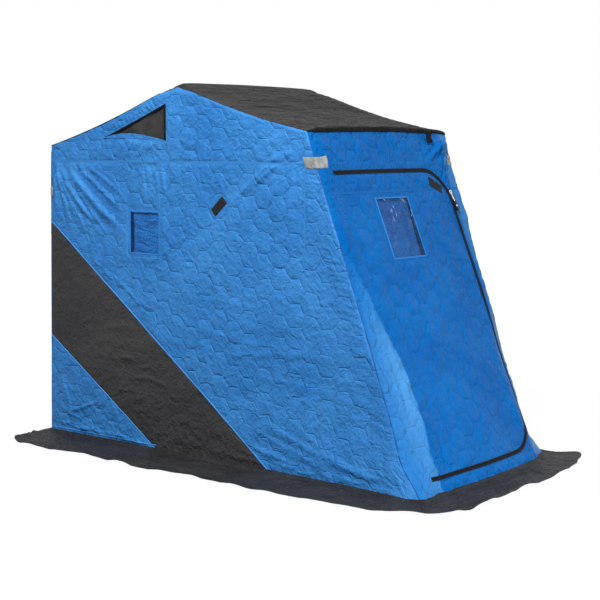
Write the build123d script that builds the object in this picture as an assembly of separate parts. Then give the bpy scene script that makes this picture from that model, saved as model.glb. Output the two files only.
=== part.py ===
from build123d import *
import math
import os

# Ice fishing hut: quilted cloth stretched over three bowed tubes that fan out from two pivot brackets,
# with a sloping front wall that bellies forward, a zip-edged door flap in it and a snow skirt on the ground.
# Millimetres, +Z up, the door faces -Y, origin on the ground at the centre of the footprint.
# The side view is drawn as (distance forward of the rear foot, height).
# A sloping wall's own view is drawn as (across, distance up the slope), with depth counted outwards.

# Shell, in the side view
base_length = 2182.0
width = 1041.0
rear_top_setback = 36.0
rear_height = 1422.0
ridge_setback = 873.0
ridge_height = 1700.0
front_top_setback = 1623.0
front_top_height = 1484.0
rear_roof_sag = 20.0
front_roof_sag = 22.0
front_bulge_depth = 32.0
front_bevel_width = 75.0
cloth = 6.0

# Side wall seams: a level seam under the gable and the two edges of the diagonal band
gable_seam_height = 1345.0
band_top_rear_height = 1075.0
band_top_foot_setback = 1428.0
band_bottom_rear_height = 497.0
band_bottom_foot_setback = 739.0

# Side window and vent
side_window_setback = 669.0
side_window_height = 1018.0
side_window_length = 191.0
side_window_rise = 199.0
vent_front_setback = 812.0
vent_length = 413.0
vent_foot_share = 0.276
vent_rise_share = 0.473
vent_tip_lift = 18.0

# Clear sheets, mesh and their covers, let into the cloth
sheet_depth = 1.5
clear_sheet = 1.0
mesh_sheet = 1.5
window_cover = 2.0

# Doorway in the front wall; a drop is measured down the slope from the wall's top edge
hinge_jamb_width = 90.0
zip_jamb_width = 110.0
doorway_bottom = 73.0
doorway_drop = 192.0
doorway_corner_radius = 168.0
door_gap = 5.0
hinge_gap = 0.3
header_seam_drop = 283.0
sill_seam = 160.0
door_window_width = 250.0
door_window_rise = 281.0
door_window_hinge_distance = 239.0
door_window_drop = 312.0

# Zip, its slider and its pull
zip_tape_width = 6.0
zip_start = 12.0
zip_tape = 1.5
slider_width = 9.0
slider_length = 24.0
slider_height = 6.0
slider_drop = 315.0
pull_width = 8.0
pull_length = 62.0
pull_thickness = 3.0

# Sewn-on trim
trim = 1.5
hem_width = 15.0
tie_width = 36.0
tie_length = 48.0
tie_centre = 376.0
wall_patch_length = 90.0
wall_patch_width = 43.0
wall_patch_setback = 1129.0
wall_patch_height = 1153.0
wall_patch_angle = 43.0
door_patch_length = 104.0
door_patch_width = 43.0
door_patch_centre = 307.0
door_patch_drop = 266.0
door_patch_angle = -26.0
reflector_rise = 46.0
reflector_length = 76.0
front_reflector_drop = 159.0
rear_reflector_height = 1173.0
rear_reflector_wrap = 8.0

# Snow skirt
skirt_width = 255.0
rear_skirt_width = 45.0
skirt_thickness = 5.0
skirt_corner_radius = 230.0

# Frame: bows, ground tubes and pivot brackets
tube_radius = 11.0
bow_corner_radius = 45.0
seat_gap = 0.3
ground_lift = 2.0
pivot_setback = 600.0
pivot_height = 60.0
leg_root = 60.0
pin_distance = 76.0
pin_radius = 4.0
pin_clearance = 0.2
bracket_plate = 3.0
bracket_rim = 19.0
bracket_foot_length = 230.0

half_width = width / 2
rear_foot_y = (base_length + skirt_width + rear_skirt_width) / 2 - rear_skirt_width
reach = 2 * (base_length + ridge_height)

side_view = Plane(origin=(0, rear_foot_y, 0), x_dir=(0, -1, 0), z_dir=(-1, 0, 0))
parts = {}


# ---- Drawing helpers ----

corners = [
    Vector(0, 0),
    Vector(rear_top_setback, rear_height),
    Vector(ridge_setback, ridge_height),
    Vector(front_top_setback, front_top_height),
    Vector(base_length, 0),
]
sags = [0, rear_roof_sag, front_roof_sag, 0]
REAR_FOOT, REAR_TOP, RIDGE, FRONT_TOP, FRONT_FOOT = range(len(corners))


def edge_between(start, end, sag=0):
    """A straight edge, or an arc that dips into the shell by its sag."""
    if not sag:
        return Line(start, end)
    along = (end - start).normalized()
    dip = Vector(along.Y, -along.X) * sag
    return ThreePointArc(start, (start + end) / 2 + dip, end)


outline = [edge_between(corners[n], corners[n + 1], sags[n]) for n in range(len(sags))]
outline.append(Line(corners[FRONT_FOOT], corners[REAR_FOOT]))


def inset(corner, before, after, chord=True):
    """The point that lies `before` inside the edge arriving at a corner and `after` inside the one leaving."""
    arriving, leaving = outline[corner - 1], outline[corner]
    first = arriving @ 1 - arriving @ 0 if chord else arriving % 1
    second = leaving @ 1 - leaving @ 0 if chord else leaving % 0
    first, second = first.normalized(), second.normalized()
    turn = second.X * first.Y - second.Y * first.X
    return corners[corner] + (second * before - first * after) / turn


def profile():
    """The side view's outline as a face."""
    return make_face(outline)


def across(face, low, high):
    """A side-view face, extruded across the width from X = low to X = high."""
    return side_view * Pos(0, 0, -high) * extrude(face, amount=high - low, dir=(0, 0, 1))


def wall_view(foot, top, x_dir):
    """A plane on a sloping wall's outer face, with its own X across, Y up the slope and Z outwards."""
    foot_point = Vector(0, rear_foot_y - foot.X, foot.Y)
    top_point = Vector(0, rear_foot_y - top.X, top.Y)
    outward = Vector(*x_dir).cross(top_point - foot_point).normalized()
    return Plane(origin=foot_point, x_dir=x_dir, z_dir=outward)


front_foot = corners[FRONT_FOOT] + Vector(front_bulge_depth, 0)
front_view = wall_view(front_foot, corners[FRONT_TOP], (1, 0, 0))
rear_view = wall_view(corners[REAR_FOOT], corners[REAR_TOP], (-1, 0, 0))
front_slope = (corners[FRONT_TOP] - front_foot).length
rear_slope = (corners[REAR_TOP] - corners[REAR_FOOT]).length
front_rise = front_top_height / front_slope
doorway_top = front_slope - doorway_drop
header_seam = front_slope - header_seam_drop
rear_rise = rear_height / rear_slope


def block(low, high, bottom, top):
    """A rectangle with its sides at the given places."""
    return Pos((low + high) / 2, (bottom + top) / 2) * Rectangle(high - low, top - bottom)


def on_wall(view, face, low, high):
    """A face drawn in a wall's view, extruded between two depths."""
    return view * Pos(0, 0, low) * extrude(face, amount=high - low, dir=(0, 0, 1))


def both_sides(name, shape):
    """Keep a left-hand piece and its mirror image."""
    parts["left_" + name] = shape
    parts["right_" + name] = mirror(shape, about=Plane.YZ)


# ---- Shell ----

inner_corners = [
    inset(REAR_FOOT, 0, cloth),
    inset(REAR_TOP, cloth, cloth),
    inset(RIDGE, cloth, cloth),
    inset(FRONT_TOP, cloth, cloth),
    inset(FRONT_FOOT, cloth, 0),
]


def shell_panel(corner):
    """The cloth between two neighbouring corners, mitred at both and butted between the side walls."""
    edges = [
        outline[corner],
        Line(corners[corner + 1], inner_corners[corner + 1]),
        edge_between(inner_corners[corner], inner_corners[corner + 1], sags[corner]),
        Line(inner_corners[corner], corners[corner]),
    ]
    return across(make_face(edges), cloth - half_width, half_width - cloth)


parts["rear_wall"] = shell_panel(REAR_FOOT)
parts["rear_roof"] = shell_panel(REAR_TOP)
parts["front_roof"] = shell_panel(RIDGE)


def behind(view, depth):
    """Everything that lies deeper than a depth behind a plane."""
    return view * Pos(0, 0, -depth) * extrude(Rectangle(2 * reach, 2 * reach), amount=-reach)


def front_block():
    """The whole front of the hut as one block, cut back along its top mitre and set between the side walls."""
    mitre = (inner_corners[FRONT_TOP] - corners[FRONT_TOP]) * (rear_height / cloth)
    face = make_face(
        Polyline(corners[FRONT_TOP], corners[FRONT_TOP] + mitre, (0, 0), front_foot, close=True)
    )
    return across(face, cloth - half_width, half_width - cloth)


def bevel_view(side):
    """The plane in which the front wall turns back to meet a side wall."""
    side_foot_y = rear_foot_y - base_length
    foot = Vector(side * (half_width - cloth), side_foot_y, 0)
    fold = Vector(side * (half_width - front_bevel_width), side_foot_y - front_bulge_depth, 0)
    top = Vector(foot.X, rear_foot_y - front_top_setback, front_top_height)
    outward = (top - foot).cross(fold - foot) * side
    return Plane(origin=foot, x_dir=fold - foot, z_dir=outward)


front_planes = [front_view, bevel_view(-1), bevel_view(1)]
front_cloth = front_block()
for view in front_planes:
    front_cloth &= behind(view, 0)
cabin = behind(front_view, cloth)
for view in front_planes:
    cabin &= behind(view, cloth)
front_cloth -= cabin


def doorway(grow, hinge=0.0):
    """The doorway's outline, straight at the hinge and rounded beside the zip, grown on its zipped sides."""
    sheet = block(
        hinge_jamb_width - half_width + hinge,
        half_width - zip_jamb_width + grow,
        doorway_bottom - grow,
        doorway_top + grow,
    )
    return fillet(sheet.vertices().sort_by(Axis.X)[-2:], doorway_corner_radius + grow)


def front_piece(face):
    """A piece cut from the front wall's cloth."""
    return front_cloth & on_wall(front_view, face, -reach, reach)


opening = doorway(door_gap / 2)
hinge_edge = hinge_jamb_width - half_width
parts["front_header"] = front_piece(block(-reach, reach, header_seam, reach) - opening)
parts["front_sill"] = front_piece(block(-reach, reach, -reach, sill_seam) - opening)
parts["front_jamb_left"] = front_piece(block(-reach, hinge_edge, sill_seam, header_seam))
parts["front_jamb_right"] = front_piece(block(0, reach, sill_seam, header_seam) - opening)


# ---- Side walls ----

def below(rear_at, foot_at):
    """The triangle under a sloping seam."""
    return make_face(Polyline((0, 0), (0, rear_at), (foot_at, 0), close=True))


above_seam = block(-reach, reach, gable_seam_height, reach)
under_band_top = below(band_top_rear_height, band_top_foot_setback)
under_band_bottom = below(band_bottom_rear_height, band_bottom_foot_setback)
side_window = Pos(side_window_setback, side_window_height) * Rectangle(side_window_length, side_window_rise)
gable_rise = ridge_height - gable_seam_height
vent_foot_height = gable_seam_height + vent_foot_share * gable_rise
vent_rise = vent_rise_share * gable_rise
vent = make_face(
    Polyline(
        (vent_front_setback, vent_foot_height),
        (vent_front_setback, vent_foot_height + vent_rise),
        (vent_front_setback - vent_length, vent_foot_height + vent_tip_lift),
        close=True,
    )
)


def in_side(face, low=0.0, high=cloth):
    """A side-view face as a piece of the left wall, between two depths from its outer face."""
    return across(face, low - half_width, high - half_width)


both_sides("gable", in_side((profile() & above_seam) - vent))
both_sides("wall", in_side(profile() - above_seam - under_band_top - side_window))
both_sides("band", in_side((profile() & under_band_top) - under_band_bottom))
both_sides("corner", in_side(profile() & under_band_bottom))
both_sides("window", in_side(side_window, sheet_depth, sheet_depth + clear_sheet))
both_sides("window_cover", in_side(side_window, cloth - window_cover))
both_sides("vent", in_side(vent, sheet_depth, sheet_depth + mesh_sheet))


# ---- Door ----

door_outline = doorway(-door_gap / 2, hinge_gap)
window_low = hinge_edge + door_window_hinge_distance
window_top = front_slope - door_window_drop
door_window = block(
    window_low,
    window_low + door_window_width,
    window_top - door_window_rise,
    window_top,
)
parts["door_panel"] = on_wall(front_view, door_outline - door_window, -cloth, 0)
parts["door_window"] = on_wall(front_view, door_window, -sheet_depth - clear_sheet, -sheet_depth)
parts["door_window_cover"] = on_wall(front_view, door_window, -cloth, window_cover - cloth)

door_tape = doorway(-door_gap / 2, zip_start) - doorway(-door_gap / 2 - zip_tape_width, zip_start)
frame_tape = doorway(door_gap / 2 + zip_tape_width) - opening
parts["door_zip"] = on_wall(front_view, door_tape, 0, zip_tape)
parts["frame_zip"] = on_wall(front_view, frame_tape, 0, zip_tape)

slider_foot = front_slope - slider_drop
slider_edge = half_width - zip_jamb_width - door_gap / 2
slider_middle = slider_edge - slider_width / 2
slider = on_wall(
    front_view,
    block(slider_edge - slider_width, slider_edge, slider_foot, slider_foot + slider_length),
    zip_tape,
    zip_tape + slider_height,
)
pull = on_wall(
    front_view,
    block(
        slider_middle - pull_width / 2,
        slider_middle + pull_width / 2,
        slider_foot - pull_length,
        slider_foot + slider_length / 2,
    ),
    zip_tape,
    zip_tape + pull_thickness,
)
parts["zip_slider"] = slider + pull


# ---- Sewn-on trim ----

def patch(length, breadth, centre, height, angle):
    """A rectangular patch turned about its centre."""
    return Pos(centre, height) * Rot(0, 0, angle) * Rectangle(length, breadth)


door_patch_height = front_slope - door_patch_drop
door_patch = patch(door_patch_length, door_patch_width, door_patch_centre, door_patch_height, door_patch_angle)
parts["door_patch"] = on_wall(front_view, door_patch, 0, trim)

wall_patch = patch(wall_patch_length, wall_patch_width, wall_patch_setback, wall_patch_height, wall_patch_angle)
left_patch = in_side(wall_patch, -trim, 0)
parts["guy_patches"] = Compound([left_patch, mirror(left_patch, about=Plane.YZ)])

hem = block(-half_width, half_width, front_slope - hem_width, front_slope)
parts["roof_hem"] = on_wall(front_view, hem, 0, trim)
tie_top = front_slope - hem_width
tie = block(tie_centre - tie_width / 2, tie_centre + tie_width / 2, tie_top - tie_length, tie_top)
parts["door_tie"] = on_wall(front_view, tie, 0, trim)


def reflector(view, rise, side, height, face_length, side_band):
    """A strip of tape that turns round a corner: one leg on the sloping wall and one on the side wall."""
    low, high = sorted((side * (half_width + trim), side * (half_width - face_length)))
    face_leg = on_wall(view, block(low, high, height / rise, (height + reflector_rise) / rise), 0, trim)
    side_leg = in_side(tape_profile & side_band, -trim, 0)
    return face_leg + side_leg


tape_profile = profile() + make_face(
    Polyline(corners[FRONT_FOOT], corners[FRONT_TOP], front_foot, close=True)
)
front_reflector_height = front_top_height - front_reflector_drop
front_reflector_rear = base_length - front_reflector_height * (base_length - front_top_setback) / front_top_height
front_band = block(
    front_reflector_rear - reflector_length,
    reach,
    front_reflector_height,
    front_reflector_height + reflector_rise,
)
rear_edge_setback = rear_top_setback * rear_reflector_height / rear_height
rear_band = block(
    -reach,
    rear_edge_setback + rear_reflector_wrap,
    rear_reflector_height,
    rear_reflector_height + reflector_rise,
)
left_reflectors = [
    reflector(front_view, front_rise, -1, front_reflector_height, reflector_length, front_band),
    reflector(rear_view, rear_rise, 1, rear_reflector_height, reflector_length, rear_band),
]
right_reflectors = [mirror(tape, about=Plane.YZ) for tape in left_reflectors]
parts["corner_reflectors"] = Compound(left_reflectors + right_reflectors)


# ---- Snow skirt, flat on the ground ----

front_foot_y = rear_foot_y - base_length
skirt_half = half_width + skirt_width
skirt_front_y = front_foot_y - skirt_width
skirt_sheet = block(-skirt_half, skirt_half, skirt_front_y, rear_foot_y)
skirt_sheet = fillet(skirt_sheet.vertices().sort_by(Axis.Y)[:2], skirt_corner_radius)
wall_foot = [
    (half_width, rear_foot_y),
    (half_width, front_foot_y),
    (half_width - cloth, front_foot_y),
    (half_width - front_bevel_width, front_foot_y - front_bulge_depth),
]
wall_foot += [(-x, y) for x, y in reversed(wall_foot)]
skirt_sheet -= make_face(Polyline(*wall_foot, close=True))


def skirt_piece(*points):
    """The part of the skirt inside a polygon."""
    return extrude(skirt_sheet & make_face(Polyline(*points, close=True)), amount=skirt_thickness)


both_sides_skirt = skirt_piece(
    (-half_width, rear_foot_y),
    (-skirt_half, rear_foot_y),
    (-skirt_half, skirt_front_y),
    (-half_width, front_foot_y),
)
parts["skirt_left"] = both_sides_skirt
parts["skirt_right"] = mirror(both_sides_skirt, about=Plane.YZ)
parts["skirt_front"] = skirt_piece(
    (-half_width, front_foot_y),
    (-skirt_half, skirt_front_y),
    (skirt_half, skirt_front_y),
    (half_width, front_foot_y),
)
rear_skirt = block(-half_width, half_width, rear_foot_y, rear_foot_y + rear_skirt_width)
parts["skirt_rear"] = extrude(rear_skirt, amount=skirt_thickness)


# ---- Frame ----

tube_seat = cloth + seat_gap + tube_radius
leg_x = half_width - cloth - seat_gap - bracket_plate - seat_gap - tube_radius
pivot = Vector(pivot_setback, pivot_height)


def in_space(x, point):
    """A side-view point at a place across the width."""
    return Vector(x, rear_foot_y - point.X, point.Y)


def tube(path):
    """A round tube along a path, drawn solid."""
    mouth = Plane(origin=path @ 0, z_dir=path % 0)
    return sweep(mouth * Circle(tube_radius), path=path)


def bow(corner):
    """A hoop whose crossbar lies in a corner of the shell and whose legs end at the pivot brackets."""
    top = inset(corner, tube_seat, tube_seat, chord=False)
    along = (top - pivot).normalized()
    root = pivot + along * leg_root
    path = FilletPolyline(
        in_space(-leg_x, root),
        in_space(-leg_x, top),
        in_space(leg_x, top),
        in_space(leg_x, root),
        radius=bow_corner_radius,
    )
    hole = Circle(pin_radius + pin_clearance)
    pin = pivot + along * pin_distance
    return tube(path) - across(Pos(pin.X, pin.Y) * hole, -half_width, half_width)


bow_corners = {"rear_bow": REAR_TOP, "ridge_bow": RIDGE, "front_bow": FRONT_TOP}
for name, corner in bow_corners.items():
    parts[name] = bow(corner)


def end_overhang(foot, top):
    """How far past a bar's middle a rail can run before its lower edge meets the sloping wall."""
    slope = corners[top] - corners[foot]
    return tube_radius * (slope.length - abs(slope.X)) / slope.Y


ground_seat = ground_lift + tube_radius
rear_bar = inset(REAR_FOOT, ground_seat, tube_seat)
front_bar = inset(FRONT_FOOT, tube_seat, ground_seat)
bar_x = leg_x - tube_radius - seat_gap
parts["base_bar_rear"] = tube(Line(in_space(-bar_x, rear_bar), in_space(bar_x, rear_bar)))
parts["base_bar_front"] = tube(Line(in_space(-bar_x, front_bar), in_space(bar_x, front_bar)))
rail_rear = rear_bar - Vector(end_overhang(REAR_FOOT, REAR_TOP), 0)
rail_front = front_bar + Vector(end_overhang(FRONT_FOOT, FRONT_TOP), 0)
parts["base_rail_left"] = tube(Line(in_space(-leg_x, rail_rear), in_space(-leg_x, rail_front)))
parts["base_rail_right"] = tube(Line(in_space(leg_x, rail_rear), in_space(leg_x, rail_front)))


def pivot_bracket():
    """Two plates that straddle the ground tube, a block between them and a pin for each bow's leg."""
    fan = Pos(pivot.X, pivot.Y) * Circle(pin_distance + bracket_rim)
    foot = Pos(pivot.X, ground_seat) * Rectangle(bracket_foot_length, 2 * tube_radius)
    cheek = make_hull(fan.edges() + foot.edges()) & block(-reach, reach, ground_lift, reach)
    inner = leg_x - tube_radius - seat_gap
    outer = leg_x + tube_radius + seat_gap
    plates = across(cheek, -outer - bracket_plate, -outer) + across(cheek, -inner, bracket_plate - inner)
    seat_low = ground_seat + tube_radius + seat_gap
    spacer = block(
        pivot.X - bracket_foot_length / 2,
        pivot.X + bracket_foot_length / 2,
        seat_low,
        pivot_height,
    )
    bracket = plates + across(spacer & cheek, -outer, -inner)
    for corner in bow_corners.values():
        top = inset(corner, tube_seat, tube_seat, chord=False)
        pin = pivot + (top - pivot).normalized() * pin_distance
        bracket += across(Pos(pin.X, pin.Y) * Circle(pin_radius), -outer, -inner)
    return bracket


parts["pivot_bracket_left"] = pivot_bracket()
parts["pivot_bracket_right"] = mirror(parts["pivot_bracket_left"], about=Plane.YZ)


os.makedirs("parts", exist_ok=True)
for name, shape in parts.items():
    export_step(shape, "parts/" + name + ".step")
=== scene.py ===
import math

import bpy
import numpy as np
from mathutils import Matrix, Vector


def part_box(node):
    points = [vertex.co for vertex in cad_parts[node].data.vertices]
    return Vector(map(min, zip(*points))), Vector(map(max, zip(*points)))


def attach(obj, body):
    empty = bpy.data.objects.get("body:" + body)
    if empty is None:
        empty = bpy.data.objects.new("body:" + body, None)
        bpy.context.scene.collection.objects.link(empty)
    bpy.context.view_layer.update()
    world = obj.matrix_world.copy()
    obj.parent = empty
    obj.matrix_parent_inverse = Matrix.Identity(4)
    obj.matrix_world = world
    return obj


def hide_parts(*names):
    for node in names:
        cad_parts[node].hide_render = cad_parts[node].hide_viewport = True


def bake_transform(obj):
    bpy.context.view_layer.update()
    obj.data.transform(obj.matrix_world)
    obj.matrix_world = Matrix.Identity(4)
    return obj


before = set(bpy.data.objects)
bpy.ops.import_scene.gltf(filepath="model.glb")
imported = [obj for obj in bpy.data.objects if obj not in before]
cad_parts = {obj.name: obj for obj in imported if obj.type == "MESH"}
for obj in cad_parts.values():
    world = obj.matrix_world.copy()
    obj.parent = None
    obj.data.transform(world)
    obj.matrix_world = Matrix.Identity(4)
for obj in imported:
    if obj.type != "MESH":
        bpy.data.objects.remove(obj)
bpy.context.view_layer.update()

# Looks of an ice fishing hut: quilted cloth over a tube frame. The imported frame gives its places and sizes.
# A sheet is drawn in its own flat coordinates, cut along its seams, given relief and then laid on the shell.
# Side sheets are drawn as (distance forward of the rear foot, height), the others as (across, up the slope).
# A field is a function of flat coordinates whose sign tells inside, below 0, from outside.


# ---- Camera ----

# Solved from the shell's straight edges in the photo
CAMERA_LENS = 82.19
CAMERA_SENSOR = 36.0
CAMERA_PLACE = (-5.0409, -3.97135, 1.42107)
CAMERA_LOOK = (0.77895, 0.61697, -0.11224)
camera = bpy.data.objects.new("camera", bpy.data.cameras.new("camera"))
bpy.context.scene.collection.objects.link(camera)
camera.data.lens = CAMERA_LENS
camera.data.sensor_width = CAMERA_SENSOR
camera.location = CAMERA_PLACE
camera.rotation_mode = "QUATERNION"
camera.rotation_quaternion = Vector(CAMERA_LOOK).to_track_quat("-Z", "Y")
bpy.context.scene.camera = camera


# ---- Sizes read from the frame ----

def corners_of(node):
    return np.array([v.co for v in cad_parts[node].data.vertices], float)


def far(node, *direction):
    """The corner of a CAD node that lies farthest in a direction."""
    points = corners_of(node)
    return points[np.argmax(points @ np.array(direction, float))]


HALF = -float(far("left_wall", -1, 0, 0)[0])
REAR_Y = float(far("rear_wall", 0, 1, -0.05)[1])


def side_point(p):
    return np.array([REAR_Y - p[1], p[2]])


REAR_FOOT = np.array([0.0, 0.0])
REAR_TOP = side_point(far("rear_roof", 0, 1, 0.3))
RIDGE = side_point(far("rear_roof", 0, 0, 1))
FRONT_TOP = side_point(far("front_roof", 0, -1, 0.3))
FRONT_FOOT = side_point(far("left_wall", 0, -1, -0.3))
DOOR_FOOT = side_point(far("front_sill", 0, -1, -0.3))
LENGTH = float(FRONT_FOOT[0])
WIDTH = 2 * HALF
TOP_Z = float(FRONT_TOP[1])
FRONT_SLOPE = float(np.linalg.norm(FRONT_TOP - DOOR_FOOT))
FRONT_RISE = TOP_Z / FRONT_SLOPE
REAR_SLOPE = float(np.linalg.norm(REAR_TOP))
REAR_RISE = float(REAR_TOP[1]) / REAR_SLOPE
REAR_ROOF = float(np.linalg.norm(RIDGE - REAR_TOP))
FRONT_ROOF = float(np.linalg.norm(FRONT_TOP - RIDGE))
SEAM_Z = float(far("left_gable", 0, 0, -1)[2])
CLOTH = HALF - abs(float(far("left_wall", 1, 0, 0)[0]))


def up_door(points):
    """How far up the door's plane world points lie."""
    up = np.array([0, DOOR_FOOT[0] - FRONT_TOP[0], TOP_Z]) / FRONT_SLOPE
    return (points - np.array([0, REAR_Y - DOOR_FOOT[0], 0])) @ up


def slope_span(node):
    """How far up the door's plane a node starts and ends."""
    along = up_door(corners_of(node))
    return float(along.min()), float(along.max())


GAP = 0.005  # between the door and the doorway on its zipped sides
CORNER_RADIUS = 0.168
HINGE = float(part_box("door_panel")[0].x) + HALF
ZIP_U = float(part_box("door_zip")[1].x) + HALF + GAP / 2
ZIP_LOW, ZIP_HIGH = slope_span("door_zip")
ZIP_LOW, ZIP_HIGH = ZIP_LOW - GAP / 2, ZIP_HIGH + GAP / 2
HEADER_SEAM = slope_span("front_header")[0]
SILL_SEAM = slope_span("front_sill")[1]
ROOF_SAGS = (0.020, 0.022)
UPRIGHT_SEAM = 1.612  # how far forward the side wall's short upright seam lies

# How fine the pieces are
STEP = 0.0063
LINING_STEP = 0.028
SEAM_STEP = 0.010
ZIP_STEP = 0.006

# Seeds of the stitched honeycomb on each wall
SIDE_SEEDS = {-1: 40, 1: 60}
FRONT_SEED = 80
REAR_SEED = 120
REAR_ROOF_SEED = 140
FRONT_ROOF_SEED = 160


# ---- Flat sheets and cuts ----

def smooth(low, high, x):
    t = np.clip((x - low) / (high - low), 0, 1)
    return t * t * (3 - 2 * t)


def grid(u0, u1, v0, v1, step):
    """A rectangle of square faces, as points and lists of their numbers."""
    nu, nv = max(1, round((u1 - u0) / step)), max(1, round((v1 - v0) / step))
    u, v = np.meshgrid(np.linspace(u0, u1, nu + 1), np.linspace(v0, v1, nv + 1), indexing="ij")
    i, j = np.meshgrid(np.arange(nu), np.arange(nv), indexing="ij")
    a = (i * (nv + 1) + j).ravel()
    return np.stack([u.ravel(), v.ravel()], 1), np.stack([a, a + nv + 1, a + nv + 2, a + 1], 1).tolist()


def split(points, faces, field, snap=0.0007):
    """Cuts the faces where the field is 0. Returns the points, the faces inside and the faces outside."""
    value = field(points[:, 0], points[:, 1])
    value = np.where(np.abs(value) < snap, 0.0, value)
    sign = np.sign(value).astype(int).tolist()
    value, points, cuts, inside, outside = value.tolist(), points.tolist(), {}, [], []
    for face in faces:
        signs = [sign[i] for i in face]
        if max(signs) <= 0:
            inside.append(face)
        elif min(signs) >= 0:
            outside.append(face)
        else:
            low, high = [], []
            for i, j in zip(face, face[1:] + face[:1]):
                if sign[i] <= 0:
                    low.append(i)
                if sign[i] >= 0:
                    high.append(i)
                if sign[i] * sign[j] < 0:
                    key = (min(i, j), max(i, j))
                    if key not in cuts:
                        t = value[i] / (value[i] - value[j])
                        cuts[key] = len(points)
                        points.append([p + (q - p) * t for p, q in zip(points[i], points[j])])
                        sign.append(0)
                    low.append(cuts[key])
                    high.append(cuts[key])
            inside.append(low)
            outside.append(high)
    return np.array(points), inside, outside


def left_of(p, q):
    """A field that is below 0 on the left of the line from p to q."""
    d = (np.array(q) - np.array(p)) / np.linalg.norm(np.array(q) - np.array(p))
    return lambda u, v: (u - p[0]) * d[1] - (v - p[1]) * d[0]


def below(height):
    return lambda u, v: v - height


def box_field(u0, u1, v0, v1):
    return lambda u, v: np.maximum(np.maximum(u0 - u, u - u1), np.maximum(v0 - v, v - v1))


def shifted(u0, u1, v0, v1, by):
    """A rectangle grown by a distance on every side."""
    return u0 - by, u1 + by, v0 - by, v1 + by


def least(*values):
    return np.min(np.broadcast_arrays(*values), axis=0)


def all_of(*fields):
    return lambda u, v: np.max([f(u, v) for f in fields], axis=0)


def doorway(grow):
    """A field that is below 0 inside the doorway, rounded beside the zip and straight at the hinge."""
    radius = CORNER_RADIUS + grow

    def field(u, v):
        low, high = ZIP_LOW - grow, ZIP_HIGH + grow
        across = u - (ZIP_U + grow - radius)
        along = np.abs(v - (low + high) / 2) - (high - low) / 2 + radius
        corner = np.hypot(np.maximum(across, 0), np.maximum(along, 0)) - radius
        edge = np.minimum(np.maximum(across, along), 0)
        return np.maximum(corner + edge, HINGE - u)

    return field


def doorway_path(grow):
    """The doorway's outline from the top of the hinge round to its foot."""
    radius, low, high, right = CORNER_RADIUS + grow, ZIP_LOW - grow, ZIP_HIGH + grow, ZIP_U + grow
    turn = np.linspace(0, math.pi / 2, max(4, int(radius * 1.6 / ZIP_STEP)))
    points = [(HINGE, high)]
    points += [(right - radius + radius * math.sin(a), high - radius + radius * math.cos(a)) for a in turn]
    points += [(right - radius + radius * math.cos(a), low + radius - radius * math.sin(a)) for a in turn]
    points += [(HINGE, low)]
    return dense(points, ZIP_STEP)


def distance_along(path):
    """How far along a line each of its points lies."""
    return np.concatenate([[0], np.cumsum(np.linalg.norm(np.diff(path, axis=0), axis=1))])


def unit(rows):
    """Each row brought to a length of 1."""
    return rows / np.maximum(np.linalg.norm(rows, axis=-1, keepdims=True), 1e-9)


def dense(points, step=SEAM_STEP, closed=False):
    """The points of a polyline, evened out to a step."""
    points = [np.array(p, float) for p in points]
    if closed:
        points.append(points[0])
    made = []
    for p, q in zip(points, points[1:]):
        n = max(1, int(np.linalg.norm(q - p) / step + 0.5))
        made += [p + (q - p) * k / n for k in range(n)]
    if not closed:
        made.append(points[-1])
    return np.array(made)


# ---- The shell's shape ----

def inward(before, corner, after):
    """The move of a corner for which both of its edges move in by 1."""
    a, b = corner - before, after - corner
    n1 = np.array([a[1], -a[0]]) / np.linalg.norm(a)
    n2 = np.array([b[1], -b[0]]) / np.linalg.norm(b)
    return np.linalg.solve(np.array([n1, n2]), np.ones(2))


REAR_DEEP = REAR_FOOT - (REAR_TOP - REAR_FOOT)
FRONT_DEEP = FRONT_FOOT + (FRONT_FOOT - FRONT_TOP)
CHAIN = [REAR_DEEP, REAR_TOP, RIDGE, FRONT_TOP, FRONT_DEEP]
front_edge = FRONT_FOOT - FRONT_TOP
MOVES = [np.array([REAR_TOP[1], -REAR_TOP[0]]) / REAR_SLOPE]
MOVES += [inward(before, corner, after) for before, corner, after in zip(CHAIN, CHAIN[1:], CHAIN[2:])]
MOVES += [np.array([front_edge[1], -front_edge[0]]) / np.linalg.norm(front_edge)]
EDGE_RADIUS = 0.008
# The wider bends where the roof's edges turn down at a side, and how far the edges arch up in the middle
BENDS = ((REAR_TOP, 0.011), (RIDGE, 0.060), (FRONT_TOP, 0.020))
ARCHES = ((REAR_TOP, 0.007), (RIDGE, 0.006), (FRONT_TOP, 0.012))
FITTING_PULL = 0.024


def front_line(z):
    """How far forward the side wall reaches at a height."""
    return FRONT_TOP[0] + (FRONT_FOOT[0] - FRONT_TOP[0]) * (TOP_Z - z) / TOP_Z


def roof_line(s):
    return np.interp(s, [REAR_TOP[0], RIDGE[0], FRONT_TOP[0]], [REAR_TOP[1], RIDGE[1], FRONT_TOP[1]])


# The creases up the front wall beside its corners: they widen downwards, and narrow again near the foot
CREASE_TOP = 1.16
CREASE_LEAST = 0.022
CREASE_MORE = 0.225
CREASE_CUT = 0.115


def crease_at(z):
    """How far from the corner the front wall's fold lies at a height."""
    up = np.clip(z / FRONT_RISE, 0, CREASE_TOP)
    widest = CREASE_LEAST + CREASE_MORE * (1 - up / CREASE_TOP) ** 0.9
    return widest - CREASE_CUT * np.clip(1 - z / 0.50, 0, 1)


# How far the front bellies: evenly down to the foot, more of it low down, and most in the middle there
BELLY = 0.032
LOW_BELLY = 0.022
MIDDLE_BELLY = 0.014
CORNER_TUCK = 0.010


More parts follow.
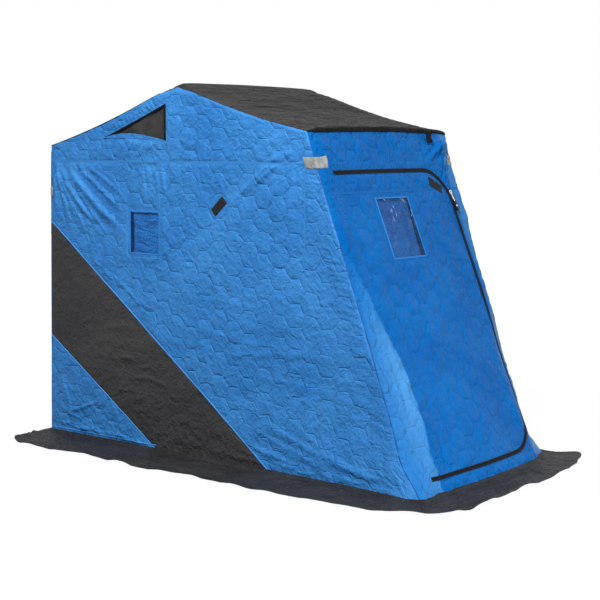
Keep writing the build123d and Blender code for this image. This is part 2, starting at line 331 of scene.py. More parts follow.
def bulge(u, z):
    """How far the front wall bellies forward of the side walls' front edges."""
    h = np.clip(1 - z / TOP_Z, 0, 1)
    inset = np.minimum(u, WIDTH - u)
    ramp = np.clip(inset / crease_at(z), 0, 1.3)
    ramp = np.where(ramp < 0.9, ramp, np.where(ramp > 1.1, 1.0, 1.0 - (1.1 - ramp) ** 2 / 0.4))
    middle = smooth(0.1, 0.5, inset)
    return (
        (BELLY * h + (LOW_BELLY + MIDDLE_BELLY * middle) * h ** 2.2) * ramp
        - CORNER_TUCK * h ** 3 * np.clip(1 - inset / 0.012, 0, 1)
    )


# How far the cloth between the top corner and the foot is drawn back at a front corner
DRAWN_AT = [0.0, 0.05, 0.13, 0.25, 0.56, 0.84, 1.07, 1.30, 1.48]
DRAWN = [0.0, 0.012, 0.036, 0.044, 0.026, 0.019, 0.022, 0.010, 0.0]
# How far a side wall's foot spreads outwards, by the distance forward of the wall's front edge
FLARE_AT = [-2.2, -1.446, -0.732, -0.308, -0.145, -0.061, 0.0, 0.1]
FLARE = [0.0, 0.004, 0.012, 0.025, 0.044, 0.058, 0.036, 0.036]


def place(x, s, z, lift):
    """World points for places on the straight-edged outline, with a lift outwards.

    Edges are eased, roofs sag, the front bellies and the foot spreads.
    """
    x, s, z, lift = (np.array(a, float) for a in np.broadcast_arrays(x, s, z, lift))
    radius = np.full_like(x, EDGE_RADIUS)
    for corner, bend in BENDS:
        near_bend = np.exp(-((np.hypot(s - corner[0], z - corner[1]) / 0.085) ** 2))
        radius += (bend - EDGE_RADIUS) * near_bend * smooth(HALF - 0.13, HALF - 0.03, np.abs(x))
    near_x = np.clip(x, -(HALF - radius), HALF - radius)
    nodes = [(c[0] + radius * m[0], c[1] + radius * m[1]) for c, m in zip(CHAIN, MOVES)]
    best, near_s, near_z = np.full_like(x, 1e9), s.copy(), z.copy()
    within = np.ones(x.shape, bool)
    for (as_, az), (bs, bz) in zip(nodes, nodes[1:]):
        ds, dz = bs - as_, bz - az
        t = np.clip(((s - as_) * ds + (z - az) * dz) / (ds * ds + dz * dz), 0, 1)
        qs, qz = as_ + ds * t, az + dz * t
        away = np.hypot(s - qs, z - qz)
        within &= (s - as_) * dz - (z - az) * ds >= 0
        closer = away < best
        best = np.where(closer, away, best)
        near_s = np.where(closer, qs, near_s)
        near_z = np.where(closer, qz, near_z)
    near_s, near_z = np.where(within, s, near_s), np.where(within, z, near_z)
    out = np.stack([x - near_x, s - near_s, z - near_z], -1)
    px, ps, pz = (np.stack([near_x, near_s, near_z], -1) + unit(out) * (radius + lift)[..., None]).T

    rear_t = np.clip((s - REAR_TOP[0]) / (RIDGE[0] - REAR_TOP[0]), 0, 1)
    front_t = np.clip((s - RIDGE[0]) / (FRONT_TOP[0] - RIDGE[0]), 0, 1)
    sag = ROOF_SAGS[0] * 4 * rear_t * (1 - rear_t) + ROOF_SAGS[1] * 4 * front_t * (1 - front_t)
    inner = 1 - (x / HALF) ** 2
    under = roof_line(s) - z
    pz -= sag * (1 + 0.35 * inner) * smooth(0.14, 0.0, under)
    for corner, arch in ARCHES:
        pz += arch * inner * np.exp(-((np.hypot(s - corner[0], z - corner[1]) / 0.16) ** 2))

    u = np.clip(x + HALF, 0, WIDTH)
    behind = s - front_line(z)
    ps += bulge(u, np.clip(z, 0, TOP_Z)) * smooth(-0.10, -0.01, behind)
    inset = np.minimum(u, WIDTH - u)
    drawn = (
        np.interp(z, DRAWN_AT, DRAWN) * np.where(x < 0, 0.10, 1.0)
        - 0.055 * smooth(0.16, 0.0, z) * (x < 0)
    )
    drawn += 0.018 * np.exp(-(((z - 0.095) / 0.065) ** 2)) * (x > 0)
    ps -= drawn * smooth(-0.5, 0.0, behind) * (1 - smooth(0.0, 0.95, inset / crease_at(np.clip(z, 0, TOP_Z))))
    spread = (
        np.interp(behind, FLARE_AT, FLARE) * np.clip(1 - z / 0.32, 0, 1) ** 1.6
        * np.clip(1 - inset / 0.07, 0, 1) ** 2
    )
    px += np.where(x < 0, -1, 1) * spread
    # The far top corner is drawn outward by its fitting
    px += FITTING_PULL * smooth(0.28, HALF, x) * smooth(1.35, 1.47, z) * smooth(-0.45, -0.06, behind)
    return np.stack([px, REAR_Y - ps, pz], -1)


def side(sign):
    return lambda u, v: (np.full_like(u, sign * HALF), u, v)


def front(u, v):
    z = v * FRONT_RISE
    return u - HALF, front_line(z), z


def rear(u, v):
    return u - HALF, REAR_TOP[0] * v / REAR_SLOPE, v * REAR_RISE


def rear_roof(u, v):
    t = v / REAR_ROOF
    return u - HALF, REAR_TOP[0] + (RIDGE[0] - REAR_TOP[0]) * t, REAR_TOP[1] + (RIDGE[1] - REAR_TOP[1]) * t


def front_roof(u, v):
    t = v / FRONT_ROOF
    return u - HALF, FRONT_TOP[0] + (RIDGE[0] - FRONT_TOP[0]) * t, TOP_Z + (RIDGE[1] - TOP_Z) * t


# ---- Relief ----

def ripples(u, v, seed, wavelength, across=None, spread=math.pi, count=10):
    """A smooth random field, mostly within -1 and 1, whose crests run square to the angle `across`."""
    dice = np.random.default_rng(seed)
    total = np.zeros_like(u)
    for _ in range(count):
        angle = (across or 0.0) + spread * (dice.random() - 0.5) * (1 if across is not None else 2)
        k = 2 * math.pi / (wavelength * (0.65 + 0.7 * dice.random()))
        total += np.sin(k * (u * math.cos(angle) + v * math.sin(angle)) + 2 * math.pi * dice.random())
    return total / math.sqrt(count)


# A honeycomb cell is 100 mm across its flats, and its rows are 86.6 mm apart
HALF_CELL = 0.05
ROW = 0.0866


def hexes(u, v):
    """Distance in from the edge of the honeycomb's cells."""
    def measure(a, b):
        a = (a + ROW) % (2 * ROW) - ROW
        b = (b + HALF_CELL) % (2 * HALF_CELL) - HALF_CELL
        return np.maximum(np.abs(b), 0.5 * np.abs(b) + 0.8660 * np.abs(a))

    return HALF_CELL - np.minimum(measure(u, v), measure(u - ROW, v - HALF_CELL))


def quilt_places(u, v, seed):
    """Where a point lies on the stitched honeycomb, which puckering has pulled a little out of true."""
    return (
        u + 0.0045 * ripples(u, v, seed, 0.21) + 0.0018 * ripples(u, v, seed + 1, 0.07),
        v + 0.0045 * ripples(u, v, seed + 2, 0.21) + 0.0018 * ripples(u, v, seed + 3, 0.07),
    )


DEEPEST = -0.0045  # a dent stays clear of the lining


def quilted(u, v, seed, height):
    """Stuffed cells between stitch lines, with small puckers beside the stitches."""
    qu, qv = quilt_places(u, v, seed)
    full = 0.85 + 0.35 * ripples(u, v, seed + 4, 0.5)
    depth = np.clip(hexes(qu, qv) / HALF_CELL, 0, 1)
    pucker = 0.22 * ripples(u, v, seed + 5, 0.030) * np.exp(-((depth - 0.20) / 0.30) ** 2)
    return height * (np.clip(full, 0.3, 1.5) * (1 - (1 - depth) ** 4.5) + pucker)


def folds(u, v, rows):
    """Tension folds: each row is (u0, v0, u1, v1, width, height, bow), steeper on one side than the other."""
    total = np.zeros_like(u)
    for u0, v0, u1, v1, width, height, bow in rows:
        du, dv = u1 - u0, v1 - v0
        length = math.hypot(du, dv)
        t = ((u - u0) * du + (v - v0) * dv) / length ** 2
        near = (t > -0.02) & (t < 1.02)
        t = t[near]
        off = ((u[near] - u0) * dv - (v[near] - v0) * du) / length - bow * length * 4 * t * (1 - t)
        along = smooth(0, 0.25, t) * smooth(1, 0.6, t)
        total[near] += height * along * np.exp(-((off / np.where(off > 0, width * 1.6, width * 0.6)) ** 2))
    return total


def varied(dice, width, height, bow):
    """A fold's width, height and bow, varied at random."""
    return (
        width * (0.7 + 0.6 * dice.random()),
        height * (0.4 + 0.9 * dice.random()),
        bow * (dice.random() - 0.5),
    )


def fan(seed, start, ends, count, width, height, jitter=0.02):
    """A row of folds that leave one place and reach along a line."""
    dice = np.random.default_rng(seed)
    rows = []
    for k in range(count):
        t = (k + 0.3 + 0.4 * dice.random()) / count
        end = np.array(ends[0]) * (1 - t) + np.array(ends[1]) * t + jitter * (dice.random(2) - 0.5)
        begin = np.array(start) + jitter * (dice.random(2) - 0.5)
        begin = begin + (end - begin) * 0.25 * dice.random()
        rows.append((*begin, *end, *varied(dice, width, height, 0.06)))
    return rows


def strip(seed, first, last, run, count, width, height, jitter=0.01):
    """A row of short folds side by side between two places, each running by `run`."""
    dice = np.random.default_rng(seed)
    rows = []
    for k in range(count):
        t = (k + 0.2 + 0.6 * dice.random()) / count
        begin = np.array(first) * (1 - t) + np.array(last) * t + jitter * (dice.random(2) - 0.5)
        end = begin + np.array(run) * (0.6 + 0.7 * dice.random()) + jitter * (dice.random(2) - 0.5)
        rows.append((*begin, *end, *varied(dice, width, height, 0.16)))
    return rows


def band_line(node):
    """The lower end and upper end of a band edge on the side wall."""
    top = side_point(far(node, 0, 0, 1))
    foot = side_point(far(node, 0, -1, -0.2))
    return foot, top


BAND_TOP = band_line("left_band")
BAND_LOW = band_line("left_corner")
window_low, window_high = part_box("left_window")
WINDOW = (side_point(window_high)[0], side_point(window_low)[0], window_low.z, window_high.z)
VENT = [
    side_point(far("left_vent", 0, -1, 0.2)), side_point(far("left_vent", 0, 1, 0)),
    side_point(far("left_vent", 0, -1, -0.2)),
]
VENT_FIELD = all_of(left_of(VENT[1], VENT[2]), left_of(VENT[2], VENT[0]), left_of(VENT[0], VENT[1]))
DOOR_WINDOW = (
    float(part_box("door_window")[0].x) + HALF,
    float(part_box("door_window")[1].x) + HALF,
    *slope_span("door_window"),
)

SIDE_FOLDS = (
    # From the rear top corner down to the window
    [(0.15, 1.335, 0.57, 1.00, 0.017, 0.013, 0.03), (0.22, 1.33, 0.56, 1.085, 0.010, 0.007, -0.02)]
    + [(0.10, 1.31, 0.40, 1.02, 0.012, 0.007, 0.04), (0.27, 1.34, 0.57, 1.16, 0.009, 0.005, -0.03)]
    + [(0.08, 1.33, 0.19, 1.08, 0.012, 0.006, 0.05), (0.055, 1.30, 0.10, 1.05, 0.010, 0.005, 0.03)]
    + fan(11, (0.06, 1.40), ((0.14, 0.95), (0.50, 0.98)), 9, 0.010, 0.0045, 0.05)
    # Under and over the vent
    + strip(12, (0.36, 1.445), (0.80, 1.435), (-0.055, -0.075), 17, 0.0055, 0.0042)
    + strip(13, (0.43, 1.48), (0.80, 1.62), (-0.03, 0.045), 14, 0.006, 0.0035)
    + strip(14, (0.20, 1.36), (0.55, 1.36), (-0.03, -0.06), 8, 0.007, 0.003)
    # Between the vent and the ridge, and down from the seam beside the window
    + strip(25, (0.84, 1.60), (1.06, 1.44), (-0.02, -0.10), 9, 0.007, 0.0036)
    + strip(26, (0.86, 1.33), (1.22, 1.30), (0.015, -0.11), 11, 0.008, 0.0034)
    + strip(27, (0.66, 1.02), (0.72, 0.86), (0.10, -0.01), 6, 0.006, 0.0030)
    + strip(28, (0.30, 0.90), (0.62, 0.70), (0.10, -0.07), 8, 0.007, 0.0030)
    # Down from the front roof edge
    + strip(29, (1.20, 1.56), (1.56, 1.47), (-0.05, -0.09), 10, 0.008, 0.0032)
    # Under the seam by the window
    + strip(15, (0.57, 1.33), (0.80, 1.33), (0.02, -0.14), 7, 0.009, 0.0042)
    # From the front top corner down and back
    + [(1.56, 1.43, 1.18, 1.14, 0.010, 0.0055, 0.02), (1.60, 1.40, 1.42, 1.05, 0.010, 0.005, 0.02)]
    + fan(16, (1.60, 1.43), ((1.20, 1.22), (1.50, 1.02)), 8, 0.010, 0.0038, 0.04)
    # Short level wrinkles behind the front edge
    + strip(17, (1.70, 0.98), (1.84, 0.56), (0.15, -0.02), 17, 0.0065, 0.0042)
    + strip(18, (1.86, 0.52), (1.98, 0.26), (0.12, -0.045), 9, 0.008, 0.004)
    # Slack along the foot
    + [(1.36, 0.245, 1.96, 0.085, 0.016, 0.010, 0.05), (1.30, 0.20, 1.80, 0.075, 0.012, 0.007, 0.04)]
    + [(1.52, 0.27, 2.05, 0.05, 0.013, 0.007, 0.07), (1.25, 0.13, 1.70, 0.045, 0.010, 0.006, 0.03)]
    + strip(19, (1.05, 0.055), (2.10, 0.035), (0.13, -0.012), 20, 0.007, 0.005)
    + strip(20, (1.20, 0.10), (2.00, 0.09), (0.16, -0.03), 12, 0.009, 0.005)
    # Long faint folds across the middle
    + [(1.18, 0.50, 1.88, 0.53, 0.012, 0.004, -0.02), (0.95, 0.62, 1.50, 0.55, 0.010, 0.003, 0.02)]
    + [(1.30, 0.43, 1.80, 0.40, 0.012, 0.0035, 0.02), (0.98, 0.72, 1.12, 0.30, 0.012, 0.003, 0.02)]
    # The corner under the band
    + [(0.12, 0.115, 0.36, 0.20, 0.006, 0.006, 0.02), (0.05, 0.16, 0.20, 0.09, 0.007, 0.004, 0.04)]
    + strip(21, (0.04, 0.06), (0.60, 0.03), (0.09, -0.010), 13, 0.007, 0.0045)
    + strip(22, (0.08, 0.30), (0.14, 0.20), (0.02, -0.13), 4, 0.008, 0.003)
    # The band
    + strip(23, (0.15, 0.62), (1.05, 0.12), (0.16, 0.01), 16, 0.010, 0.003, 0.12)
    + strip(24, (0.35, 0.30), (1.10, 0.05), (0.10, 0.03), 12, 0.008, 0.003, 0.1)
)


def side_relief(sign):
    """Pillows and folds of a side wall."""
    seed = SIDE_SEEDS[sign]

    def relief(u, v):
        band = (left_of(*BAND_TOP)(u, v) < 0) & (left_of(*BAND_LOW)(u, v) > 0)
        seam = np.where((v > 0.86) & (v < SEAM_Z), np.abs(u - UPRIGHT_SEAM), 1)
        edge = least(u + 0.004, front_line(v) - u + 0.004, roof_line(u) - v + 0.004)
        pin = least(
            np.abs(left_of(*BAND_TOP)(u, v)),
            np.abs(left_of(*BAND_LOW)(u, v)),
            np.abs(v - SEAM_Z),
            np.maximum(box_field(*shifted(*WINDOW, 0.008))(u, v), 0),
            np.where(v < 1.0, seam + (1.0 - v) * 0.1, seam),
            np.maximum(edge, 0),
            np.abs(VENT_FIELD(u, v)),
            np.maximum(v + 0.002, 0),
        )
        calm = 0.95 - 0.48 * smooth(0.95, 0.30, v) * smooth(0.8, 1.4, u) - 0.20 * smooth(1.35, 1.7, u)
        raised = quilted(u, v, seed, 0.0034) * np.where(band, 0.35, calm)
        raised += (
            (0.60 + 0.90 * smooth(1.1, 0.7, u) + 0.5 * smooth(1.0, 1.15, v) * smooth(0.7, 1.1, u))
            * folds(u, v, SIDE_FOLDS if sign < 0 else MIRROR_FOLDS)
        )
        raised += 0.0030 * ripples(u, v, seed + 9, 0.34) + 0.0010 * ripples(u, v, seed + 10, 0.09)
        return np.maximum(raised * (0.12 + 0.88 * smooth(0, 0.018, pin)), DEEPEST)

    return relief


MIRROR_FOLDS = [
    (a + 0.013, b - 0.01, c - 0.012, d + 0.008, w * 1.1, h * 0.9, -k) for a, b, c, d, w, h, k in SIDE_FOLDS
]

FRONT_FOLDS = (
    # From the far top corner down to the zip's turn
    fan(31, (1.03, 1.57), ((0.72, 1.42), (0.93, 1.28)), 9, 0.008, 0.0055, 0.03)
    + fan(32, (0.02, 1.57), ((0.06, 1.24), (0.22, 1.44)), 7, 0.008, 0.004, 0.03)
    + [(0.970, 1.555, 0.900, 1.455, 0.010, 0.012, 0.030), (0.990, 1.570, 0.935, 1.455, 0.010, 0.012, -0.020)]
    + [(1.008, 1.580, 0.975, 1.470, 0.011, 0.012, 0.020)]
    # Upright wrinkles in the header
    + strip(33, (0.18, 1.56), (0.74, 1.56), (0.015, -0.11), 22, 0.006, 0.0022)
    + strip(34, (0.12, 1.37), (0.80, 1.37), (0.02, -0.06), 16, 0.007, 0.0022)
    # Along the near fold
    + [(0.035, 1.02, 0.10, 0.70, 0.007, 0.006, 0.02), (0.06, 0.80, 0.13, 0.52, 0.008, 0.006, -0.03)]
    + [(0.02, 0.62, 0.055, 0.16, 0.008, 0.008, 0.02), (0.055, 0.55, 0.11, 0.12, 0.010, 0.007, -0.02)]
    + [(0.11, 0.50, 0.20, 0.13, 0.010, 0.006, 0.03), (0.03, 0.34, 0.05, 0.02, 0.007, 0.007, 0.02)]
    + strip(35, (0.02, 0.95), (0.03, 0.20), (0.035, -0.09), 15, 0.006, 0.004)
    + strip(36, (0.15, 0.42), (0.24, 0.13), (0.02, -0.09), 6, 0.008, 0.004)
    + strip(40, (0.04, 0.72), (0.09, 0.10), (0.05, -0.09), 18, 0.007, 0.006)
    # Along the far fold
    + [(1.00, 0.90, 0.955, 0.62, 0.008, 0.005, 0.02), (1.01, 0.50, 0.96, 0.20, 0.008, 0.006, 0.02)]
    + strip(37, (0.86, 0.75), (0.84, 0.20), (0.05, -0.07), 12, 0.008, 0.0045)
    + strip(38, (1.02, 0.60), (1.02, 0.05), (-0.05, -0.07), 11, 0.007, 0.005)
    # The sill
    + strip(39, (0.08, 0.05), (0.98, 0.05), (0.05, -0.035), 20, 0.007, 0.004)
)


def front_relief(u, v):
    pin = least(
        np.abs(v - HEADER_SEAM),
        np.minimum(u, WIDTH - u) + 0.004,
        np.maximum(np.abs(doorway(0)(u, v)) - 0.008, 0),
        np.maximum(box_field(*shifted(*DOOR_WINDOW, 0.01))(u, v), 0),
        FRONT_SLOPE - v + 0.004,
        np.maximum(v + 0.002, 0),
    )
    raised = quilted(u, v, FRONT_SEED, 0.0034) + 1.25 * folds(u, v, FRONT_FOLDS)
    raised += 0.0024 * ripples(u, v, 88, 0.3) + 0.0012 * ripples(u, v, 89, 0.10)
    # The cloth is pinched beside the near corner seam
    raised -= 0.008 * np.exp(-(((u - 0.014 - 0.02 * (0.9 - v)) / 0.007) ** 2)) * smooth(1.05, 0.75, v)
    return np.maximum(raised * (0.12 + 0.88 * smooth(0, 0.017, pin)), DEEPEST)


def rear_relief(u, v):
    pin = least(u, WIDTH - u, REAR_SLOPE - v) + 0.004
    raised = quilted(u, v, REAR_SEED, 0.0050)
    raised += folds(u, v, fan(51, (0.02, 1.38), ((0.06, 0.9), (0.5, 1.2)), 9, 0.012, 0.006, 0.04))
    raised += folds(u, v, fan(52, (1.02, 1.38), ((0.98, 0.9), (0.54, 1.2)), 9, 0.012, 0.006, 0.04))
    raised += folds(u, v, strip(53, (0.05, 0.06), (1.0, 0.06), (0.12, -0.02), 16, 0.008, 0.005))
    raised += 0.0022 * ripples(u, v, 128, 0.33) + 0.0009 * ripples(u, v, 129, 0.1)
    return np.maximum(raised * (0.12 + 0.88 * smooth(0, 0.018, pin)), DEEPEST)


def roof_relief(seed, length):
    def relief(u, v):
        pin = least(u, WIDTH - u, v, length - v) + 0.004
        level = (
            ripples(u * 0.22, v, seed, 0.045, math.pi / 2, 0.5)
            + 0.6 * ripples(u * 0.3, v, seed + 1, 0.022, math.pi / 2, 0.6)
        )
        raised = 0.0015 * level + 0.0022 * ripples(u, v, seed + 2, 0.26)
        return np.maximum(raised * (0.15 + 0.85 * smooth(0, 0.05, pin)), DEEPEST)

    return relief


def flat(u, v):
    return np.zeros_like(u)


# ---- Meshes ----

def make_object(name, points, faces, material, own, flip=False, body="shell", stitched=None, is_smooth=True):
    """A mesh object. own holds its flat coordinates, and stitched its place on the honeycomb."""
    used = sorted({i for face in faces for i in face})
    number = {old: new for new, old in enumerate(used)}
    faces = [[number[i] for i in face] for face in faces]
    if flip:
        faces = [face[::-1] for face in faces]
    mesh = bpy.data.meshes.new(name)
    mesh.from_pydata(np.asarray(points)[used].tolist(), [], faces)
    for title, values in (("cloth", own), ("quilt", own if stitched is None else stitched)):
        layer = mesh.attributes.new(title, "FLOAT_VECTOR", "POINT")
        layer.data.foreach_set("vector", np.ascontiguousarray(values[used], np.float32).ravel())
    mesh.polygons.foreach_set("use_smooth", np.full(len(mesh.polygons), is_smooth))
    mesh.materials.append(material)
    mesh.validate()
    made = bpy.data.objects.new(name, mesh)
    bpy.context.scene.collection.objects.link(made)
    if body:
        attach(made, body)
    return made


def flat_places(u, v):
    """A sheet's flat coordinates as rows of three."""
    return np.stack([u, v, np.zeros_like(u)], 1)


def flat_area(points, faces):
    """The area of flat faces, in square metres."""
    total = 0.0
    for face in faces:
        ring = points[face]
        nxt = np.roll(ring, -1, axis=0)
        total += abs(np.sum(ring[:, 0] * nxt[:, 1] - ring[:, 1] * nxt[:, 0])) / 2
    return float(total)


SMALLEST_FILL = 0.34


def lay(
    name, points, faces, to_shell, relief, material, lift=0.0, flip=False, body="shell", seed=0,
):
    u, v = points[:, 0], points[:, 1]
    world = place(*to_shell(u, v), relief(u, v) + lift)
    stitched = flat_places(*quilt_places(u, v, seed))
    made = make_object(name, world, faces, material, flat_places(u, v), flip, body, stitched)
    used = sorted({i for face in faces for i in face})
    size = points[used].max(0) - points[used].min(0)
    area = flat_area(points, faces)
    # A long slanting sheet fills little of its upright box, so a closer breadth is given for it
    size[int(np.argmin(size))] = min(size.min(), area / SMALLEST_FILL / size.max())
    return made


def ribbon(name, path, section, to_shell, material, relief=flat, closed=False, flip=False, body="shell"):
    """A strip swept along a path in a sheet's own coordinates. The section is pairs of (across, lift)."""
    path = np.asarray(path, float)
    along = unit(np.roll(path, -1, 0) - np.roll(path, 1, 0) if closed else np.gradient(path, axis=0))
    across = np.stack([along[:, 1], -along[:, 0]], 1)
    run = distance_along(path)
    points, own = [], []
    for offset, lift in section:
        row = path + across * offset
        height = relief(row[:, 0], row[:, 1]) + lift
        points.append(place(*to_shell(row[:, 0], row[:, 1]), height))
        own.append(np.stack([run, np.full_like(run, offset), np.zeros_like(run)], 1))
    n = len(path)
    faces = []
    for k in range(len(section) - 1):
        for i in range(n if closed else n - 1):
            j = (i + 1) % n
            faces.append([k * n + i, (k + 1) * n + i, (k + 1) * n + j, k * n + j])
    return make_object(name, np.concatenate(points), faces, material, np.concatenate(own), flip, body)


def join(name, objects):
    """One object of several that ride on one body."""
    bpy.ops.object.select_all(action="DESELECT")
    for o in objects:
        o.select_set(True)
    bpy.context.view_layer.objects.active = objects[0]
    bpy.ops.object.join()
    objects[0].name = name
    objects[0].data.name = name
    return objects[0]


# ---- Materials ----

class Shader:
    """The node tree of a material or world, built by short calls."""

    def __init__(self, owner):
        self.owner = owner if isinstance(owner, bpy.types.ID) else bpy.data.materials.new(owner)
        self.owner.use_nodes = True
        self.tree = self.owner.node_tree
        self.tree.nodes.clear()

    def node(self, kind, inputs=(), **props):
        """A node with its properties set and its inputs linked or filled. inputs maps keys to values."""
        made = self.tree.nodes.new(kind)
        for key, value in props.items():
            setattr(made, key, value)
        for key, value in dict(inputs).items():
            if isinstance(value, bpy.types.NodeSocket):
                self.tree.links.new(value, made.inputs[key])
            else:
                made.inputs[key].default_value = value
        return made

    def math(self, operation, *values, clamp=False):
        return self.node("ShaderNodeMath", enumerate(values), operation=operation, use_clamp=clamp).outputs[0]

    def times(self, a, b, clamp=False):
        return self.math("MULTIPLY", a, b, clamp=clamp)

    def plus(self, a, b, clamp=False):
        return self.math("ADD", a, b, clamp=clamp)

    def minus(self, a, b):
        return self.math("SUBTRACT", a, b)

    def wave(self, value, pitch):
        return self.math("SINE", self.times(value, 2 * math.pi / pitch))

    def vector(self, operation, *values):
        made = self.node("ShaderNodeVectorMath", enumerate(values), operation=operation)
        return made.outputs["Value" if operation == "LENGTH" else "Vector"]

    def attribute(self, name):
        return self.node("ShaderNodeAttribute", attribute_name=name).outputs["Vector"]

    def parts(self, vector):
        made = self.node("ShaderNodeSeparateXYZ", {0: vector})
        return made.outputs[0], made.outputs[1], made.outputs[2]

    def join(self, x, y):
        return self.node("ShaderNodeCombineXYZ", {0: x, 1: y, 2: 0.0}).outputs[0]

    def noise(self, vector, scale, detail=2.0, roughness=0.5, distortion=0.0, kind="FBM"):
        more = {"Offset": 1.0, "Gain": 1.6} if kind == "RIDGED_MULTIFRACTAL" else {}
        return self.node(
            "ShaderNodeTexNoise",
            {
                "Vector": vector, "Scale": scale, "Detail": detail, "Roughness": roughness,
                "Distortion": distortion, **more,
            },
            noise_type=kind, normalize=True,
        ).outputs["Fac"]

    def ramp(self, value, low, high, from_value=0.0, to_value=1.0, kind="SMOOTHSTEP"):
        return self.node(
            "ShaderNodeMapRange",
            {"Value": value, "From Min": low, "From Max": high, "To Min": from_value, "To Max": to_value},
            interpolation_type=kind,
        ).outputs[0]

    def mix(self, fac, a, b):
        # Inputs 0, 6 and 7 are the factor and the two colours
        made = self.node("ShaderNodeMix", {0: fac, 6: a, 7: b}, data_type="RGBA", blend_type="MIX")
        return made.outputs[2]

    def bump(self, height):
        return self.node("ShaderNodeBump", {"Height": height, "Distance": 1.0, "Strength": 1.0}).outputs[0]

    def finish(self, **inputs):
        named = {key.replace("_", " "): value for key, value in inputs.items()}
        shader = self.node("ShaderNodeBsdfPrincipled", named)
        self.node("ShaderNodeOutputMaterial", {"Surface": shader.outputs[0]})
        return self.owner


def rgb(r, g, b):
    """A colour written as it shows, 0 to 255."""
    def linear(c):
        c /= 255
        return c / 12.92 if c <= 0.04045 else ((c + 0.055) / 1.055) ** 2.4

    return (linear(r), linear(g), linear(b), 1.0)


def toned(colour, by):
    """A colour made lighter or darker."""
    return tuple(min(1.0, c * by) for c in colour[:3]) + (1.0,)


def hex_cells(sh, place_on_quilt):
    """Distance in from the nearest stitch line of the honeycomb."""
    def measure(u, v):
        a = sh.math("ABSOLUTE", sh.math("WRAP", u, ROW, -ROW))
        b = sh.math("ABSOLUTE", sh.math("WRAP", v, HALF_CELL, -HALF_CELL))
        slanted = sh.plus(sh.times(b, 0.5), sh.times(a, 0.8660254))
        return sh.math("MAXIMUM", b, slanted)

    u, v, _ = sh.parts(place_on_quilt)
    first = measure(u, v)
    second = measure(sh.minus(u, ROW), sh.minus(v, HALF_CELL))
    return sh.minus(HALF_CELL, sh.math("MINIMUM", first, second))


def weave(sh, cloth, pitch):
    """Over-and-under threads, from -1 to 1."""
    u, v, _ = sh.parts(cloth)
    k = math.pi / pitch
    return sh.times(sh.math("SINE", sh.times(u, k)), sh.math("SINE", sh.times(v, k)))


def crumple(sh, cloth, seed, coarse=11.0, fine=34.0, depth=0.0035):
    """The height of small sharp creases in coated cloth."""
    moved = sh.vector("ADD", cloth, (seed, seed * 0.37, 0.0))
    big = sh.noise(moved, coarse, 2.0, 0.5, 0.35, "RIDGED_MULTIFRACTAL")
    small = sh.noise(moved, fine, 2.0, 0.55, 0.5, "RIDGED_MULTIFRACTAL")
    return sh.plus(sh.times(big, depth), sh.times(small, depth * 0.7))


THREAD_PITCH = 0.0016
WHITE = (1.0, 1.0, 1.0, 1.0)


def quilted_cloth(
    name, colour, shade, groove_depth=0.0016, crumple_depth=0.0024, seed=0.0, roughness=0.5,
    tint=(0.6, 0.8, 1.0, 1.0), gloss=0.2, stretch=(1.0, 1.0), lighter=None,
):
    sh = Shader(name)
    cloth = sh.attribute("cloth")
    inside = hex_cells(sh, sh.attribute("quilt"))
    groove = sh.ramp(inside, 0.0, 0.0055)
    height = sh.times(groove, groove_depth)
    drawn_out = sh.vector("MULTIPLY", cloth, (*stretch, 1.0))
    height = sh.plus(height, crumple(sh, drawn_out, seed, depth=crumple_depth))
    height = sh.plus(height, sh.times(weave(sh, cloth, THREAD_PITCH), 0.00004))
    tone = sh.noise(sh.vector("ADD", cloth, (seed, 3.1, 0.0)), 3.2, 4.0, 0.55)
    base = sh.mix(sh.ramp(tone, 0.3, 0.7), shade, colour)
    if lighter is not None:
        # Painted sheen: outside the front's creases the cloth turns to the light, so its colour is painted
        # paler there, less so on the far side
        u, v, _ = sh.parts(cloth)
        up = sh.times(v, 1 / CREASE_TOP, clamp=True)
        crease = sh.math("MULTIPLY_ADD", sh.math("POWER", sh.minus(1.0, up), 0.9), CREASE_MORE, CREASE_LEAST)
        crease = sh.minus(crease, sh.ramp(v, 0.45, 0.95, 0.0, CREASE_LEAST))
        crease = sh.minus(crease, sh.ramp(v, 0.0, 0.54, CREASE_CUT, 0.0, "LINEAR"))
        crease = sh.plus(crease, sh.math("MULTIPLY_ADD", sh.noise(cloth, 9.0, 3.0, 0.6), 0.024, -0.012))
        near = sh.ramp(sh.minus(crease, u), -0.005, 0.009)
        across = sh.math("DIVIDE", u, sh.math("MAXIMUM", crease, 0.01))
        near = sh.times(near, sh.ramp(across, 0.0, 0.8, 0.45, 1.0))
        near = sh.times(near, sh.ramp(v, 0.45, 1.12, 1.0, 0.0))
        near = sh.times(near, sh.ramp(v, 0.05, 0.55, 0.66, 1.0))
        far_edge = sh.math("MAXIMUM", crease, 0.085)
        beyond = sh.ramp(sh.minus(far_edge, sh.minus(WIDTH, u)), -0.01, 0.03, 0.0, 0.55)
        base = sh.mix(sh.math("MAXIMUM", near, beyond), base, lighter)
    # Painted shade: the cloth is painted darker along the stitch grooves of the honeycomb
    painted_groove_shade = sh.times(sh.minus(1.0, sh.ramp(inside, 0.0, 0.0022)), 0.16)
    base = sh.mix(painted_groove_shade, base, toned(shade, 0.45))
    rough = sh.ramp(sh.noise(cloth, 55.0, 3.0), 0.3, 0.7, roughness - 0.06, roughness + 0.08)
    return sh.finish(
        Base_Color=base, Roughness=rough, Normal=sh.bump(height), Specular_IOR_Level=gloss,
        Specular_Tint=tint,
    )


